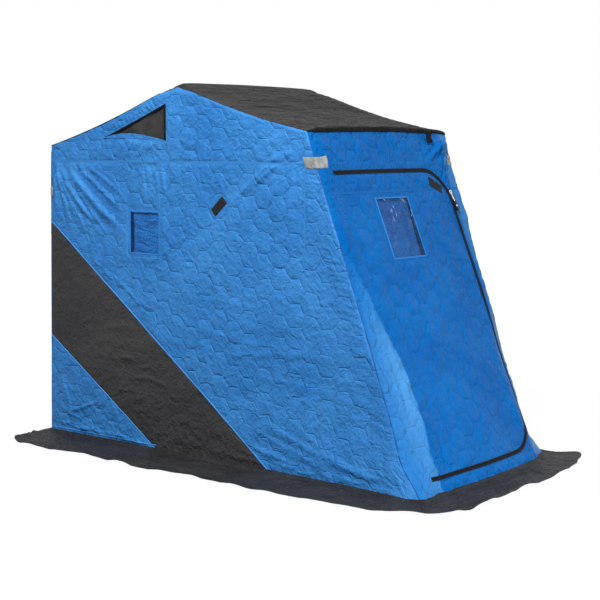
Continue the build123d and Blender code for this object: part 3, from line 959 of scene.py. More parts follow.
def plain_cloth(
    name, colour, shade, crumple_depth=0.004, stretch=(1.0, 1.0), seed=0.0, roughness=0.6, coarse=9.0,
    fine=26.0, pitch=THREAD_PITCH, gloss=0.16,
):
    sh = Shader(name)
    cloth = sh.attribute("cloth")
    drawn = sh.vector("MULTIPLY", cloth, (*stretch, 1.0))
    height = crumple(sh, drawn, seed, coarse, fine, crumple_depth)
    height = sh.plus(height, sh.times(weave(sh, cloth, pitch), 0.00005))
    tone = sh.noise(sh.vector("ADD", drawn, (seed, 1.7, 0.0)), 6.0, 5.0, 0.6)
    speck = sh.noise(cloth, 420.0, 2.0, 0.6)
    base = sh.mix(sh.ramp(tone, 0.3, 0.7), shade, colour)
    base = sh.mix(sh.ramp(speck, 0.5, 0.8, 0.0, 0.25), base, toned(colour, 1.8))
    return sh.finish(Base_Color=base, Roughness=roughness, Normal=sh.bump(height), Specular_IOR_Level=gloss)


BLUE = rgb(54, 124, 190)
BLUE_SHADE = rgb(44, 112, 179)
# Painted shade: the front wall, the door and their seams use the side walls' blue cloth, painted deeper and
# darker because the front catches less light
SHADED_FRONT_BLUE = rgb(5, 95, 168)
SHADED_FRONT_DARKER = rgb(2, 84, 156)
BLUE_CLOTH = quilted_cloth("blue_quilted_cloth", BLUE, BLUE_SHADE)
# Its lighter colour is a painted sheen, put on the front beside its creases
FRONT_CLOTH = quilted_cloth(
    "front_quilted_cloth", SHADED_FRONT_BLUE, SHADED_FRONT_DARKER, groove_depth=0.0012, seed=11.0, roughness=0.42,
    tint=(0.10, 0.55, 1.0, 1.0), gloss=0.15, stretch=(1.4, 0.85), lighter=rgb(66, 131, 190),
)
DARK_CLOTH = quilted_cloth(
    "dark_band_cloth", rgb(56, 56, 57), rgb(46, 46, 48), groove_depth=0.0005, crumple_depth=0.0026,
    seed=5.0, roughness=0.6, tint=WHITE, gloss=0.16,
)
ROOF_CLOTH = plain_cloth(
    "dark_roof_cloth", rgb(46, 45, 45), rgb(33, 32, 33), crumple_depth=0.0070, stretch=(0.30, 1.0),
    seed=2.0, roughness=0.56, coarse=26.0, fine=80.0, gloss=0.14,
)
SKIRT_CLOTH = plain_cloth(
    "skirt_cloth", rgb(47, 47, 49), rgb(35, 35, 37), crumple_depth=0.0060, seed=7.0, gloss=0.12
)
LINING = plain_cloth(
    "lining_cloth", rgb(44, 45, 50), rgb(36, 37, 42), crumple_depth=0.003, seed=9.0, roughness=0.7
)
BLACK = plain_cloth(
    "black_webbing", rgb(18, 19, 21), rgb(12, 12, 14), crumple_depth=0.0008, seed=4.0, coarse=30.0,
    fine=90.0, pitch=0.0012, gloss=0.06,
)


# ---- Side sheets ----

BOWS = ["rear_bow", "ridge_bow", "front_bow"]


def outline_cut(points, faces):
    """Keeps what lies inside the side view's straight outline."""
    for p, q in ((REAR_FOOT, REAR_TOP), (REAR_TOP, RIDGE), (RIDGE, FRONT_TOP), (FRONT_TOP, FRONT_FOOT)):
        points, _, faces = split(points, faces, left_of(p, q))
    return points, faces


def side_sheets(step):
    """A side wall's sheets, cut from one grid: all their points, and each sheet's faces."""
    points, faces = outline_cut(*grid(0.0, LENGTH, 0.0, float(RIDGE[1]), step))
    points, low, gable = split(points, faces, below(SEAM_Z))
    points, corner, rest = split(points, low, left_of(*BAND_LOW))
    points, band, wall = split(points, rest, left_of(*BAND_TOP))
    points, _, wall = split(points, wall, box_field(*WINDOW))
    points, _, gable = split(points, gable, VENT_FIELD)
    return points, {"gable": gable, "wall": wall, "band": band, "corner": corner}


SIDES = ((-1, "left"), (1, "right"))
for sign, hand in SIDES:
    relief = side_relief(sign)
    points, cut = side_sheets(STEP)
    seed = SIDE_SEEDS[sign]
    for part, material in (
        ("gable", BLUE_CLOTH), ("wall", BLUE_CLOTH), ("band", DARK_CLOTH), ("corner", BLUE_CLOTH)
    ):
        made = lay(
            f"{hand}_{part}_cloth", points, cut[part], side(sign), relief, material, flip=sign > 0,
            seed=seed,
        )
        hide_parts(f"{hand}_{part}")
    points, cut = side_sheets(LINING_STEP)
    faces = cut["gable"] + cut["wall"] + cut["band"] + cut["corner"]
    lay(f"{hand}_lining", points, faces, side(sign), flat, LINING, lift=-CLOTH, flip=sign < 0)


# ---- Front and rear sheets ----

points, faces = grid(0.0, WIDTH, 0.0, FRONT_SLOPE, STEP)
points, _, faces = split(points, faces, doorway(GAP / 2))
points, low, header = split(points, faces, below(HEADER_SEAM))
points, sill, jambs = split(points, low, below(SILL_SEAM))
points, near_jamb, far_jamb = split(points, jambs, lambda u, v: u - WIDTH / 2)
for part, cut in (("header", header), ("sill", sill), ("jamb_left", near_jamb), ("jamb_right", far_jamb)):
    made = lay(
        f"front_{part}_cloth", points, cut, front, front_relief, FRONT_CLOTH, seed=FRONT_SEED,
    )
    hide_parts(f"front_{part}")
points, faces = grid(0.0, WIDTH, 0.0, FRONT_SLOPE, LINING_STEP)
points, _, faces = split(points, faces, doorway(GAP / 2))
lay("front_lining", points, faces, front, flat, LINING, lift=-CLOTH, flip=True)

points, faces = grid(0.0, WIDTH, 0.0, REAR_SLOPE, STEP)
made = lay(
    "rear_wall_cloth", points, faces, rear, rear_relief, BLUE_CLOTH, flip=True, seed=REAR_SEED,
)
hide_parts("rear_wall")
points, faces = grid(0.0, WIDTH, 0.0, REAR_SLOPE, LINING_STEP)
lay("rear_lining", points, faces, rear, flat, LINING, lift=-CLOTH)

for name, to_shell, length, flip, seed in (
    ("rear_roof", rear_roof, REAR_ROOF, True, REAR_ROOF_SEED),
    ("front_roof", front_roof, FRONT_ROOF, False, FRONT_ROOF_SEED),
):
    points, faces = grid(0.0, WIDTH, 0.0, length, STEP)
    made = lay(
        name + "_cloth", points, faces, to_shell, roof_relief(seed, length), ROOF_CLOTH, flip=flip,
        seed=seed,
    )
    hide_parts(name)
    points, faces = grid(0.0, WIDTH, 0.0, length, LINING_STEP)
    lay(name + "_lining", points, faces, to_shell, flat, LINING, lift=-CLOTH, flip=not flip)


# ---- Door ----

def door_sheet(step):
    points, faces = grid(HINGE, WIDTH, 0.0, FRONT_SLOPE, step)
    points, faces, _ = split(points, faces, doorway(-GAP / 2))
    points, _, faces = split(points, faces, box_field(*DOOR_WINDOW))
    return points, faces


points, faces = door_sheet(STEP)
made = lay(
    "door_cloth", points, faces, front, front_relief, FRONT_CLOTH, body="door", seed=FRONT_SEED,
)
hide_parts("door_panel")
points, faces = door_sheet(LINING_STEP)
lay("door_lining", points, faces, front, flat, LINING, lift=-CLOTH, flip=True, body="door")

# A fold of the front's cloth runs behind the hinge edge
points, faces = grid(HINGE - 0.016, HINGE + 0.016, ZIP_LOW + 0.004, ZIP_HIGH - 0.004, 0.004)
u, v = points[:, 0], points[:, 1]
world = place(*front(u, v), front_relief(u, v) - 0.0015)
made = make_object("hinge_fold_cloth", world, faces, FRONT_CLOTH, flat_places(u, v), body=None)
middle_v = np.array([(ZIP_LOW + ZIP_HIGH) / 2])
start, end = (place(*front(np.array([HINGE + aside]), middle_v), 0.0)[0] for aside in (-0.010, 0.010))
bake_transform(made)


# ---- Windows and vents ----

def clear_vinyl(name, glints):
    """Clear sheet with soft dents. Glints are painted highlights: near-white marks painted into its colour
    where its creases catch the light.
    """
    sh = Shader(name)
    cloth = sh.attribute("cloth")
    dents = sh.times(sh.noise(cloth, 16.0, 2.0, 0.5, 0.6, "RIDGED_MULTIFRACTAL"), 0.0022)
    turned = sh.node(
        "ShaderNodeMapping", {"Vector": cloth, "Rotation": (0, 0, 0.55), "Scale": (150.0, 16.0, 1.0)}
    ).outputs[0]
    marks = sh.ramp(sh.noise(turned, 1.0, 2.0, 0.6), 0.60, 0.65)
    patches = sh.ramp(sh.noise(sh.vector("ADD", cloth, (0.31, 0.17, 0.0)), 11.0, 2.0, 0.5), 0.46, 0.54)
    _, height, _ = sh.parts(cloth)
    bright = sh.times(sh.times(marks, patches), sh.ramp(height, 1.12, 1.22, 0.2 * glints, glints))
    base = sh.mix(bright, rgb(30, 90, 156), rgb(235, 240, 246))
    alpha = sh.plus(sh.times(bright, 0.75), 0.22, clamp=True)
    return sh.finish(
        Base_Color=base, Roughness=0.14, Alpha=alpha, Normal=sh.bump(dents), Specular_IOR_Level=0.5
    )


CLEAR = clear_vinyl("clear_vinyl", 0.25)
DOOR_CLEAR = clear_vinyl("door_clear_vinyl", 1.0)
sh = Shader("vent_mesh")
cloth = sh.attribute("cloth")
u_at, v_at, _ = sh.parts(cloth)
bars = sh.math("MAXIMUM", sh.wave(u_at, 0.0032), sh.wave(v_at, 0.0032))
tone = sh.mix(sh.ramp(sh.noise(cloth, 9.0, 3.0, 0.6), 0.35, 0.65), rgb(46, 45, 46), rgb(66, 64, 64))
# Painted shade: between its threads the mesh is painted dark for the shaded inside seen through its holes
tone = sh.mix(sh.ramp(bars, -0.2, 0.6, 0.45, 0.0), tone, rgb(24, 24, 26))
bars = sh.bump(sh.times(bars, 0.0003))
MESH = sh.finish(Base_Color=tone, Roughness=0.7, Normal=bars, Specular_IOR_Level=0.1)


def vinyl_relief(seed, field):
    def relief(u, v):
        inside = np.clip(-field(u, v), 0, 1)
        return (
            (0.0022 * ripples(u, v, seed, 0.12) + 0.0010 * ripples(u, v, seed + 1, 0.05))
            * smooth(0, 0.03, inside)
        )

    return relief


def rect_path(u0, u1, v0, v1):
    return dense([(u0, v0), (u1, v0), (u1, v1), (u0, v1)], closed=True)


COVER_LAP = 0.012
COVER_DEPTH = 0.0080
PANE_DEPTH = 0.0016
BINDING_SECTION = [(-0.006, 0.0006), (-0.0055, 0.0015), (0.0003, 0.0017), (0.0012, 0.0010), (0.0016, -0.003)]
RIM_SECTION = [(-0.014, -0.0008), (-0.013, 0.0008), (-0.001, 0.0018), (0.0005, 0.0015), (0.001, 0.0002)]


def window(name, box, to_shell, cover_field, flip, body, seed):
    """A clear sheet in a bound frame, with its cloth cover behind it."""
    field = box_field(*box)
    points, faces = grid(*box, 0.006)
    vinyl = DOOR_CLEAR if body == "door" else CLEAR
    relief = vinyl_relief(seed, field)
    pane = lay(name, points, faces, to_shell, relief, vinyl, lift=-PANE_DEPTH, flip=flip, body=body)
    points, faces = grid(*shifted(*box, COVER_LAP), 0.007)
    points, faces, _ = split(points, faces, cover_field)
    backing = SHADED_DOOR_COVER if body == "door" else COVER_CLOTH
    relief = vinyl_relief(seed + 5, field)
    behind = lay(
        name + "_cover", points, faces, to_shell, relief, backing, -COVER_DEPTH, flip, body, seed,
    )
    path = rect_path(*box)
    frame_strip = ribbon(
        name + "_binding", path, BINDING_SECTION, to_shell, WINDOW_BINDING, closed=True, flip=not flip,
        body=body,
    )
    return pane, behind


COVER_CLOTH = plain_cloth(
    "window_cover_cloth", rgb(34, 120, 196), rgb(20, 96, 174), crumple_depth=0.0042, stretch=(0.4, 1.2),
    seed=6.0,
)
# Painted shade: the door's window cover is the side windows' cover cloth painted darker
SHADED_DOOR_COVER = plain_cloth(
    "door_window_cover_cloth", rgb(16, 88, 156), rgb(8, 66, 132), crumple_depth=0.0042,
    stretch=(0.7, 1.0), seed=6.5,
)
BLUE_BINDING = plain_cloth(
    "blue_binding", rgb(72, 144, 214), rgb(60, 132, 204), crumple_depth=0.0006, seed=8.0
)
WINDOW_BINDING = plain_cloth(
    "window_binding", rgb(44, 120, 196), rgb(34, 108, 184), crumple_depth=0.0006, seed=14.0
)


def vent_sag(u, v):
    """Below 0 under the curved line where the wall cloth overlaps the vent."""
    t = np.clip((u - VENT[1][0]) / (VENT[2][0] - VENT[1][0]), 0, 1)
    line = VENT[1][1] + (VENT[2][1] - VENT[1][1]) * t
    return v - line - 0.024 * np.sin(math.pi * t ** 0.8)


def mesh_relief(u, v):
    return 0.0015 * ripples(u, v, 210, 0.15)


def lip_relief(u, v):
    """Proud of the mesh, and drawn in towards its upper edge."""
    return 0.0022 - 0.05 * np.maximum(vent_sag(u, v) + 0.004, 0)


for sign, hand in SIDES:
    edge = box_field(WINDOW[0] + 0.021, WINDOW[1] + COVER_LAP, WINDOW[2] - COVER_LAP, WINDOW[3] + COVER_LAP)
    pane, behind = window(f"{hand}_window_sheet", WINDOW, side(sign), edge, sign > 0, "shell", 200 + sign)
    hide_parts(f"{hand}_window")
    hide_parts(f"{hand}_window_cover")

    points, faces = grid(VENT[1][0], VENT[0][0], VENT[2][1], VENT[0][1], 0.006)
    points, faces, _ = split(points, faces, VENT_FIELD)
    net = lay(
        f"{hand}_vent_mesh", points, faces, side(sign), mesh_relief, MESH, lift=-0.002, flip=sign > 0,
    )
    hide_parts(f"{hand}_vent")
    # The wall cloth sags up over the vent's lower edge
    points, faces = grid(VENT[1][0], VENT[0][0], VENT[2][1] - 0.004, VENT[2][1] + 0.04, 0.004)
    points, faces, _ = split(points, faces, VENT_FIELD)
    points, faces, _ = split(points, faces, vent_sag)
    lip = lay(
        f"{hand}_vent_lip", points, faces, side(sign), lip_relief, BLUE_CLOTH, flip=sign > 0,
    )
    rim = dense([VENT[2], VENT[0], VENT[1] + np.array([0.012, 0.004])])
    rim_strip = ribbon(f"{hand}_vent_binding", rim, RIM_SECTION, side(sign), BLACK, flip=sign < 0)

slant = left_of(
    (DOOR_WINDOW[1] - 0.036, DOOR_WINDOW[2] - 0.02), (DOOR_WINDOW[1] - 0.004, DOOR_WINDOW[3] + 0.012)
)
edge = all_of(box_field(*shifted(*DOOR_WINDOW, COVER_LAP)), slant)
pane, behind = window("door_window_sheet", DOOR_WINDOW, front, edge, False, "door", 220)
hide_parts("door_window")
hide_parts("door_window_cover")


# ---- Seams and bindings ----

def seam_cloth(name, colour, shade):
    """A flat-felled seam: two rows of stitches along a strip of the sheet's own cloth."""
    sh = Shader(name)
    along, across, _ = sh.parts(sh.attribute("cloth"))
    row = sh.math("ABSOLUTE", sh.minus(sh.math("ABSOLUTE", across), 0.0032))
    line = sh.ramp(row, 0.0, 0.0012, 1.0, 0.0)
    dash = sh.ramp(sh.wave(along, 0.0045), -0.5, 0.1)
    thread = sh.times(line, dash)
    dip = sh.plus(sh.times(line, -0.0009), sh.times(thread, 0.0006))
    pucker = sh.times(sh.noise(sh.join(sh.times(along, 70.0), sh.times(across, 20.0)), 1.0, 2.0), 0.0016)
    # Painted shade: the stitch rows are painted darker, and the thread dashes on them bring back the cloth's
    # colour
    base = sh.mix(sh.times(line, 0.45), colour, toned(shade, 0.5))
    base = sh.mix(sh.times(thread, 0.6), base, colour)
    return sh.finish(
        Base_Color=base, Roughness=0.6, Normal=sh.bump(sh.plus(dip, pucker)), Specular_IOR_Level=0.15
    )


SEAM = seam_cloth("blue_seam", BLUE, BLUE_SHADE)
# The front's seams take the front's painted-shade blue
FRONT_SEAM = seam_cloth("front_seam", SHADED_FRONT_BLUE, SHADED_FRONT_DARKER)


def flat_strip(path, width, to_shell, material, relief, flip, body, rise, closed):
    """A sewn strip lying on the cloth."""
    half = width / 2
    section = [(-half - 0.0006, 0.0001), (-half, rise), (-half * 0.4, rise * 1.1)]
    section += [(-across, lift) for across, lift in section[::-1]]
    return ribbon("strip", path, section, to_shell, material, relief, closed, not flip, body)


def round_front(sign):
    """Places round a front corner: below 0 on the side wall, above 0 on the front wall."""
    def to_shell(a, z):
        return sign * (HALF - np.maximum(a, 0)), front_line(z) - np.maximum(-a, 0), z

    return to_shell


def round_rear(sign):
    def to_shell(a, z):
        edge = REAR_TOP[0] * z / REAR_TOP[1]
        return sign * (HALF - np.maximum(a, 0)), edge + np.maximum(-a, 0), z

    return to_shell


def over_front(u, v):
    """Places over the front roof edge: below 0 down the front wall, above 0 back up the roof."""
    return tuple(
        np.where(v < 0, a, b)
        for a, b in zip(front(u, FRONT_SLOPE + np.minimum(v, 0)), front_roof(u, np.maximum(v, 0)))
    )


def levels(u0, u1, v):
    return dense([(u0, v), (u1, v)])


def joined_strips(name, rows, to_shell, material, relief, flip=False, body="shell"):
    """One piece of several strips. Each row is (path, width, rise), and its path may be a closed one."""
    strips = []
    for path, width, rise in rows:
        closed = bool(np.linalg.norm(path[0] - path[-1]) < 2 * SEAM_STEP)
        strips.append(flat_strip(path, width, to_shell, material, relief, flip, body, rise, closed))
    made = join(name, strips)


for sign, hand in SIDES:
    level_seam = levels(REAR_TOP[0] * SEAM_Z / REAR_TOP[1] + 0.003, front_line(SEAM_Z) - 0.003, SEAM_Z)
    upright_seam = dense([(UPRIGHT_SEAM, 0.80), (UPRIGHT_SEAM, SEAM_Z - 0.008)])
    window_seam = dense([(WINDOW[1] + 0.006, WINDOW[3] + 0.012), (WINDOW[1] + 0.004, SEAM_Z - 0.008)])
    round_window = rect_path(*shifted(*WINDOW, 0.016))
    rows = [(level_seam, 0.010, 0.0004), (upright_seam, 0.007, 0.0003)]
    rows += [(window_seam, 0.006, 0.0003), (round_window, 0.006, 0.0004)]
    joined_strips(f"{hand}_seams", rows, side(sign), SEAM, side_relief(sign), sign > 0)
    rows = [(dense([foot, top]), 0.0055, 0.0017) for foot, top in (BAND_TOP, BAND_LOW)]
    rows += [(levels(0.004, BAND_LOW[0][0] - 0.004, 0.026), 0.005, 0.0014)]
    joined_strips(f"{hand}_band_bindings", rows, side(sign), BLUE_BINDING, side_relief(sign), sign > 0)

rows = [(levels(0.012, HINGE - 0.004, HEADER_SEAM), 0.009, 0.0004)]
rows += [(levels(ZIP_U + 0.014, WIDTH - 0.012, HEADER_SEAM), 0.009, 0.0004)]
joined_strips("front_seams", rows, front, FRONT_SEAM, front_relief)
rows = [(levels(HINGE + 0.006, ZIP_U - 0.060, HEADER_SEAM - 0.002), 0.009, 0.0008)]
rows += [(rect_path(*shifted(*DOOR_WINDOW, 0.018)), 0.006, 0.0004)]
joined_strips("door_seams", rows, front, FRONT_SEAM, front_relief, body="door")


PIPE_SIDES = 8


def pipe(path, radius, material):
    """A length of round piping along a line of world points."""
    path = np.asarray(path, float)
    along = unit(np.gradient(path, axis=0))
    first = unit(np.cross(along, np.array([0.31, 0.52, 0.79])))
    second = np.cross(along, first)
    turn = np.arange(PIPE_SIDES) * 2 * math.pi / PIPE_SIDES
    ring = np.cos(turn)[None, :, None] * first[:, None] + np.sin(turn)[None, :, None] * second[:, None]
    points = (path[:, None] + ring * radius).reshape(-1, 3)
    run = distance_along(path)
    n = len(path)
    own = np.stack([np.repeat(run, PIPE_SIDES), np.tile(turn * radius, n), np.zeros(n * PIPE_SIDES)], 1)
    faces = []
    for i in range(n - 1):
        for k in range(PIPE_SIDES):
            a, b = i * PIPE_SIDES + k, i * PIPE_SIDES + (k + 1) % PIPE_SIDES
            faces.append([a, b, b + PIPE_SIDES, a + PIPE_SIDES])
    faces.append(list(range(PIPE_SIDES))[::-1])
    faces.append([(n - 1) * PIPE_SIDES + k for k in range(PIPE_SIDES)])
    return make_object("pipe", points, faces, material, own)


PIPING = plain_cloth("blue_piping", rgb(30, 88, 154), rgb(18, 66, 126), crumple_depth=0.0006, seed=12.0)
pipes, dark_pipes = [], []
for sign in (-1, 1):
    z = np.linspace(0.004, TOP_Z - 0.03, 150)
    wobble = 0.0012 * ripples(z, z, 300 + sign, 0.09)
    pipes.append(pipe(place(sign * HALF, front_line(z), z, wobble), 0.0026, PIPING))
    z = np.linspace(0.004, REAR_TOP[1] - 0.03, 140)
    pipes.append(pipe(place(sign * HALF, REAR_TOP[0] * z / REAR_TOP[1], z, 0.001), 0.0026, PIPING))
    s = np.linspace(REAR_TOP[0], RIDGE[0] - 0.10, 90)
    dark_pipes.append(pipe(place(sign * HALF, s, roof_line(s), 0.0), 0.0026, BLACK))
x = np.linspace(-HALF, HALF, 90)
dark_pipes.append(pipe(place(x, REAR_TOP[0], REAR_TOP[1], 0.001), 0.0034, BLACK))
made = join("corner_piping", pipes)
made = join("roof_piping", dark_pipes)


# ---- Hem, tie, patches and reflectors ----

HEM_DROP, HEM_REACH = 0.0165, 0.046


def hem_field(u, v):
    """Below 0 on the hem, which narrows towards both corners."""
    reach = HEM_REACH * smooth(0.0, 0.17, u) * smooth(WIDTH + 0.01, WIDTH - 0.10, u)
    drop = HEM_DROP * (0.55 + 0.45 * smooth(0.0, 0.06, u))
    return np.maximum(v - reach - 0.001, -v - drop - 0.0012 * ripples(u, v * 0, 321, 0.2))


def hem_relief(u, v):
    """Follows the cloth under the hem, and rolls over the edge as a soft welt."""
    under = np.where(v < 0, front_relief(u, FRONT_SLOPE + v), roof_relief(FRONT_ROOF_SEED, FRONT_ROOF)(u, v))
    welt = (
        0.0050 * np.exp(-(((v - 0.010) / 0.022) ** 2)) * smooth(0.0, 0.1, u)
        * smooth(WIDTH, WIDTH - 0.1, u)
    )
    return under + welt + 0.0008 * ripples(u, v, 320, 0.10)


points, faces = grid(0.0, WIDTH, -0.018, HEM_REACH + 0.004, 0.0035)
points, faces, _ = split(points, faces, hem_field, 0.0002)
u, v = points[:, 0], points[:, 1]
rise = 0.0003 + 0.0030 * smooth(0.0, 0.0025, -hem_field(u, v))
world = place(*over_front(u, v), hem_relief(u, v) + rise)
made = make_object("roof_hem_strip", world, faces, BLACK, flat_places(u, v))
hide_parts("roof_hem")


PAD_CORNER = 0.003


def pad(
    name, u0, u1, v0, v1, to_shell, material, relief=flat, thick=0.0016, step=0.004, flip=False,
    body="shell", turned=None,
):
    """A thin patch whose rim comes down to the cloth. turned is (centre, angle) for one set at a slant."""
    points, faces = grid(u0, u1, v0, v1, step)
    half = np.array([(u1 - u0) / 2, (v1 - v0) / 2])
    middle = np.array([(u0 + u1) / 2, (v0 + v1) / 2])
    q = np.abs(points - middle) - half + PAD_CORNER
    inside = (
        PAD_CORNER - np.hypot(np.maximum(q[:, 0], 0), np.maximum(q[:, 1], 0))
        - np.minimum(np.maximum(q[:, 0], q[:, 1]), 0)
    )
    own = np.column_stack([points - middle, np.zeros(len(points))])
    if turned:
        (cu, cv), angle = turned
        c, s = math.cos(math.radians(angle)), math.sin(math.radians(angle))
        local = points - middle
        points = np.stack([cu + c * local[:, 0] - s * local[:, 1], cv + s * local[:, 0] + c * local[:, 1]], 1)
    u, v = points[:, 0], points[:, 1]
    world = place(*to_shell(u, v), relief(u, v) + 0.0003 + thick * smooth(0, 0.002, inside))
    return make_object(name, world, faces, material, own, flip, body)


def patch_at(node, to_flat):
    """The centre of a turned patch and its two sides, from the corners of its CAD node."""
    flat_points = to_flat(corners_of(node))
    middle = (flat_points.max(0) + flat_points.min(0)) / 2
    low = flat_points[np.argmin(flat_points[:, 1])]
    side_one = flat_points[np.argmax(flat_points[:, 0])] - low
    side_two = flat_points[np.argmin(flat_points[:, 0])] - low
    return middle, side_one, side_two


def front_flat(points):
    return np.stack([points[:, 0] + HALF, up_door(points)], 1)


def side_flat(points):
    points = points[points[:, 0] < 0]
    return np.stack([REAR_Y - points[:, 1], points[:, 2]], 1)


def slanted_pad(name, node, to_flat, to_shell, relief, flip=False, body="shell"):
    middle, one, two = patch_at(node, to_flat)
    length, breadth = np.linalg.norm(one), np.linalg.norm(two)
    angle = math.degrees(math.atan2(one[1], one[0]))
    return pad(
        name, -length / 2, length / 2, -breadth / 2, breadth / 2, to_shell, PATCH, relief, thick=0.0026,
        flip=flip, body=body, turned=(middle, angle),
    )


PATCH = seam_cloth("black_patch", rgb(24, 25, 28), rgb(15, 16, 19))
made = slanted_pad("door_patch_cloth", "door_patch", front_flat, front, front_relief, body="door")
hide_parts("door_patch")
both = [
    slanted_pad("patch", "guy_patches", side_flat, side(sign), side_relief(sign), sign > 0)
    for sign in (-1, 1)
]
made = join("guy_patch_cloth", both)
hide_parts("guy_patches")


def wrapped(sign, at_rear):
    """The relief under tape that turns round a corner, evened out a little."""
    def relief(a, z):
        inner = np.abs(a)
        welt = 0.0030 * np.exp(-((a / 0.010) ** 2))
        if at_rear:
            on_side = side_relief(sign)(REAR_TOP[0] * z / REAR_TOP[1] + inner, z)
            on_end = rear_relief(inner, z / REAR_RISE)
        else:
            on_side = side_relief(sign)(front_line(z) - inner, z)
            on_end = front_relief(inner if sign < 0 else WIDTH - inner, z / FRONT_RISE)
        return np.maximum(np.where(a < 0, on_side, on_end), 0.0) + welt + 0.0008

    return relief


sh = Shader("reflective_tape")
cloth = sh.attribute("cloth")
u_at, v_at, _ = sh.parts(cloth)
height = sh.times(sh.times(sh.wave(u_at, 0.004), sh.wave(v_at, 0.004)), 0.00008)
height = sh.plus(height, crumple(sh, cloth, 3.0, coarse=20.0, fine=60.0, depth=0.0012))
tone = sh.mix(sh.ramp(sh.noise(cloth, 30.0, 3.0), 0.35, 0.65), rgb(126, 128, 129), rgb(142, 144, 144))
REFLECTIVE = sh.finish(Base_Color=tone, Roughness=0.45, Normal=sh.bump(height), Specular_IOR_Level=0.2)
front_heights = [p[2] for p in corners_of("corner_reflectors") if p[1] < 0]
rear_heights = [p[2] for p in corners_of("corner_reflectors") if p[1] > 0]
front_low, front_high = min(front_heights), max(front_heights)
rear_low, rear_high = min(rear_heights), max(rear_heights)
bits = []
for sign in (-1, 1):
    for u0, u1, low, high, to_shell, at_rear, flip in (
        (-0.064, 0.056, front_low, front_high, round_front(sign), False, sign > 0),
        (-0.014, 0.069, rear_low, rear_high, round_rear(sign), True, sign < 0),
    ):
        under = wrapped(sign, at_rear)
        bits.append(pad("tape", u0, u1, low, high, to_shell, REFLECTIVE, under, flip=flip))
made = join("corner_reflector_tape", bits)
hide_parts("corner_reflectors")

# A webbing tie hangs from the hem at a lean, with a thicker end
tie_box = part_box("door_tie")
tie_u = (tie_box[0].x + tie_box[1].x) / 2 + HALF
tie_low, tie_high = slope_span("door_tie")
TIE_LEAN = 0.40


def on_front(extra):
    return lambda u, v: np.maximum(front_relief(u, v), 0.0) + extra(v)


def hung(u, v):
    return front(u - TIE_LEAN * (tie_high - v), v)


def tie_piece(before, after, low, high, to_shell, extra, thick, step=0.004):
    """A length of the tie, from `before` to `after` across its middle line."""
    return pad("tie", tie_u - before, tie_u + after, low, high, to_shell, BLACK, on_front(extra), thick, step)


bits = [
    tie_piece(0.018, 0.018, tie_high - 0.016, tie_high + 0.004, front, lambda v: 0.002, 0.0042),
    tie_piece(
        0.017, 0.015, tie_low, tie_high, hung, lambda v: 0.002 + 0.005 * smooth(tie_high, tie_low, v),
        0.0036,
    ),
    tie_piece(0.020, 0.017, tie_low - 0.002, tie_low + 0.014, hung, lambda v: 0.006, 0.0056, 0.003),
]
made = join("door_tie_webbing", bits)
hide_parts("door_tie")


# ---- Zip ----

def tape_material(name, colour):
    sh = Shader(name)
    along, across, _ = sh.parts(sh.attribute("cloth"))
    rib = sh.wave(across, 0.0016)
    pick = sh.wave(along, 0.0022)
    height = sh.plus(sh.times(rib, 0.00008), sh.times(pick, 0.00006))
    row = sh.ramp(sh.math("ABSOLUTE", sh.minus(sh.math("ABSOLUTE", across), 0.0046)), 0.0, 0.0008, 1.0, 0.0)
    tone = sh.mix(sh.ramp(sh.noise(sh.attribute("cloth"), 40.0, 3.0), 0.35, 0.65), colour, toned(colour, 1.5))
    tone = sh.mix(sh.times(row, 0.35), tone, rgb(70, 72, 78))
    return sh.finish(Base_Color=tone, Roughness=0.62, Normal=sh.bump(height), Specular_IOR_Level=0.1)


ZIP_TAPE = tape_material("zip_tape", rgb(15, 17, 23))
sh = Shader("zip_coil")
blotch = sh.ramp(sh.noise(sh.attribute("cloth"), 60.0, 2.0), 0.35, 0.65)
tone = sh.mix(blotch, rgb(12, 13, 18), rgb(22, 24, 31))
COIL = sh.finish(Base_Color=tone, Roughness=0.42, Specular_IOR_Level=0.15)


TOOTH_PITCH = 0.0042
TOOTH_HEIGHT = 0.0042


def teeth(name, path, inward_by, outward_by, phase, body):
    """A row of zip teeth along a path, each a small bevelled block."""
    path = np.asarray(path, float)
    run = distance_along(path)
    at = np.arange(phase, run[-1], TOOTH_PITCH)
    middle = np.stack([np.interp(at, run, path[:, 0]), np.interp(at, run, path[:, 1])], 1)
    ahead = np.stack([np.interp(at + 0.001, run, path[:, 0]), np.interp(at + 0.001, run, path[:, 1])], 1)
    along = unit(ahead - middle)
    across = np.stack([along[:, 1], -along[:, 0]], 1)
    half = TOOTH_PITCH * 0.30
    foot = [(-half, inward_by), (half, inward_by), (half, outward_by), (-half, outward_by)]
    shape = [(a, b, 0.0) for a, b in foot] + [(a * 0.7, b * 0.8, TOOTH_HEIGHT) for a, b in foot]
    sides = [(4, 5, 6, 7), (0, 1, 5, 4), (1, 2, 6, 5), (2, 3, 7, 6), (3, 0, 4, 7)]
    points, faces = [], []
    for a, b, lift in shape:
        flat_points = middle + along * a + across * b
        points.append(place(*front(flat_points[:, 0], flat_points[:, 1]), lift))
    points = np.stack(points, 1).reshape(-1, 3)
    for k in range(len(middle)):
        faces += [[8 * k + i for i in face] for face in sides]
    own = np.column_stack([np.repeat(at, 8), np.zeros(8 * len(at)), np.zeros(8 * len(at))])
    return make_object(name, points, faces, COIL, own, body=body, is_smooth=False)


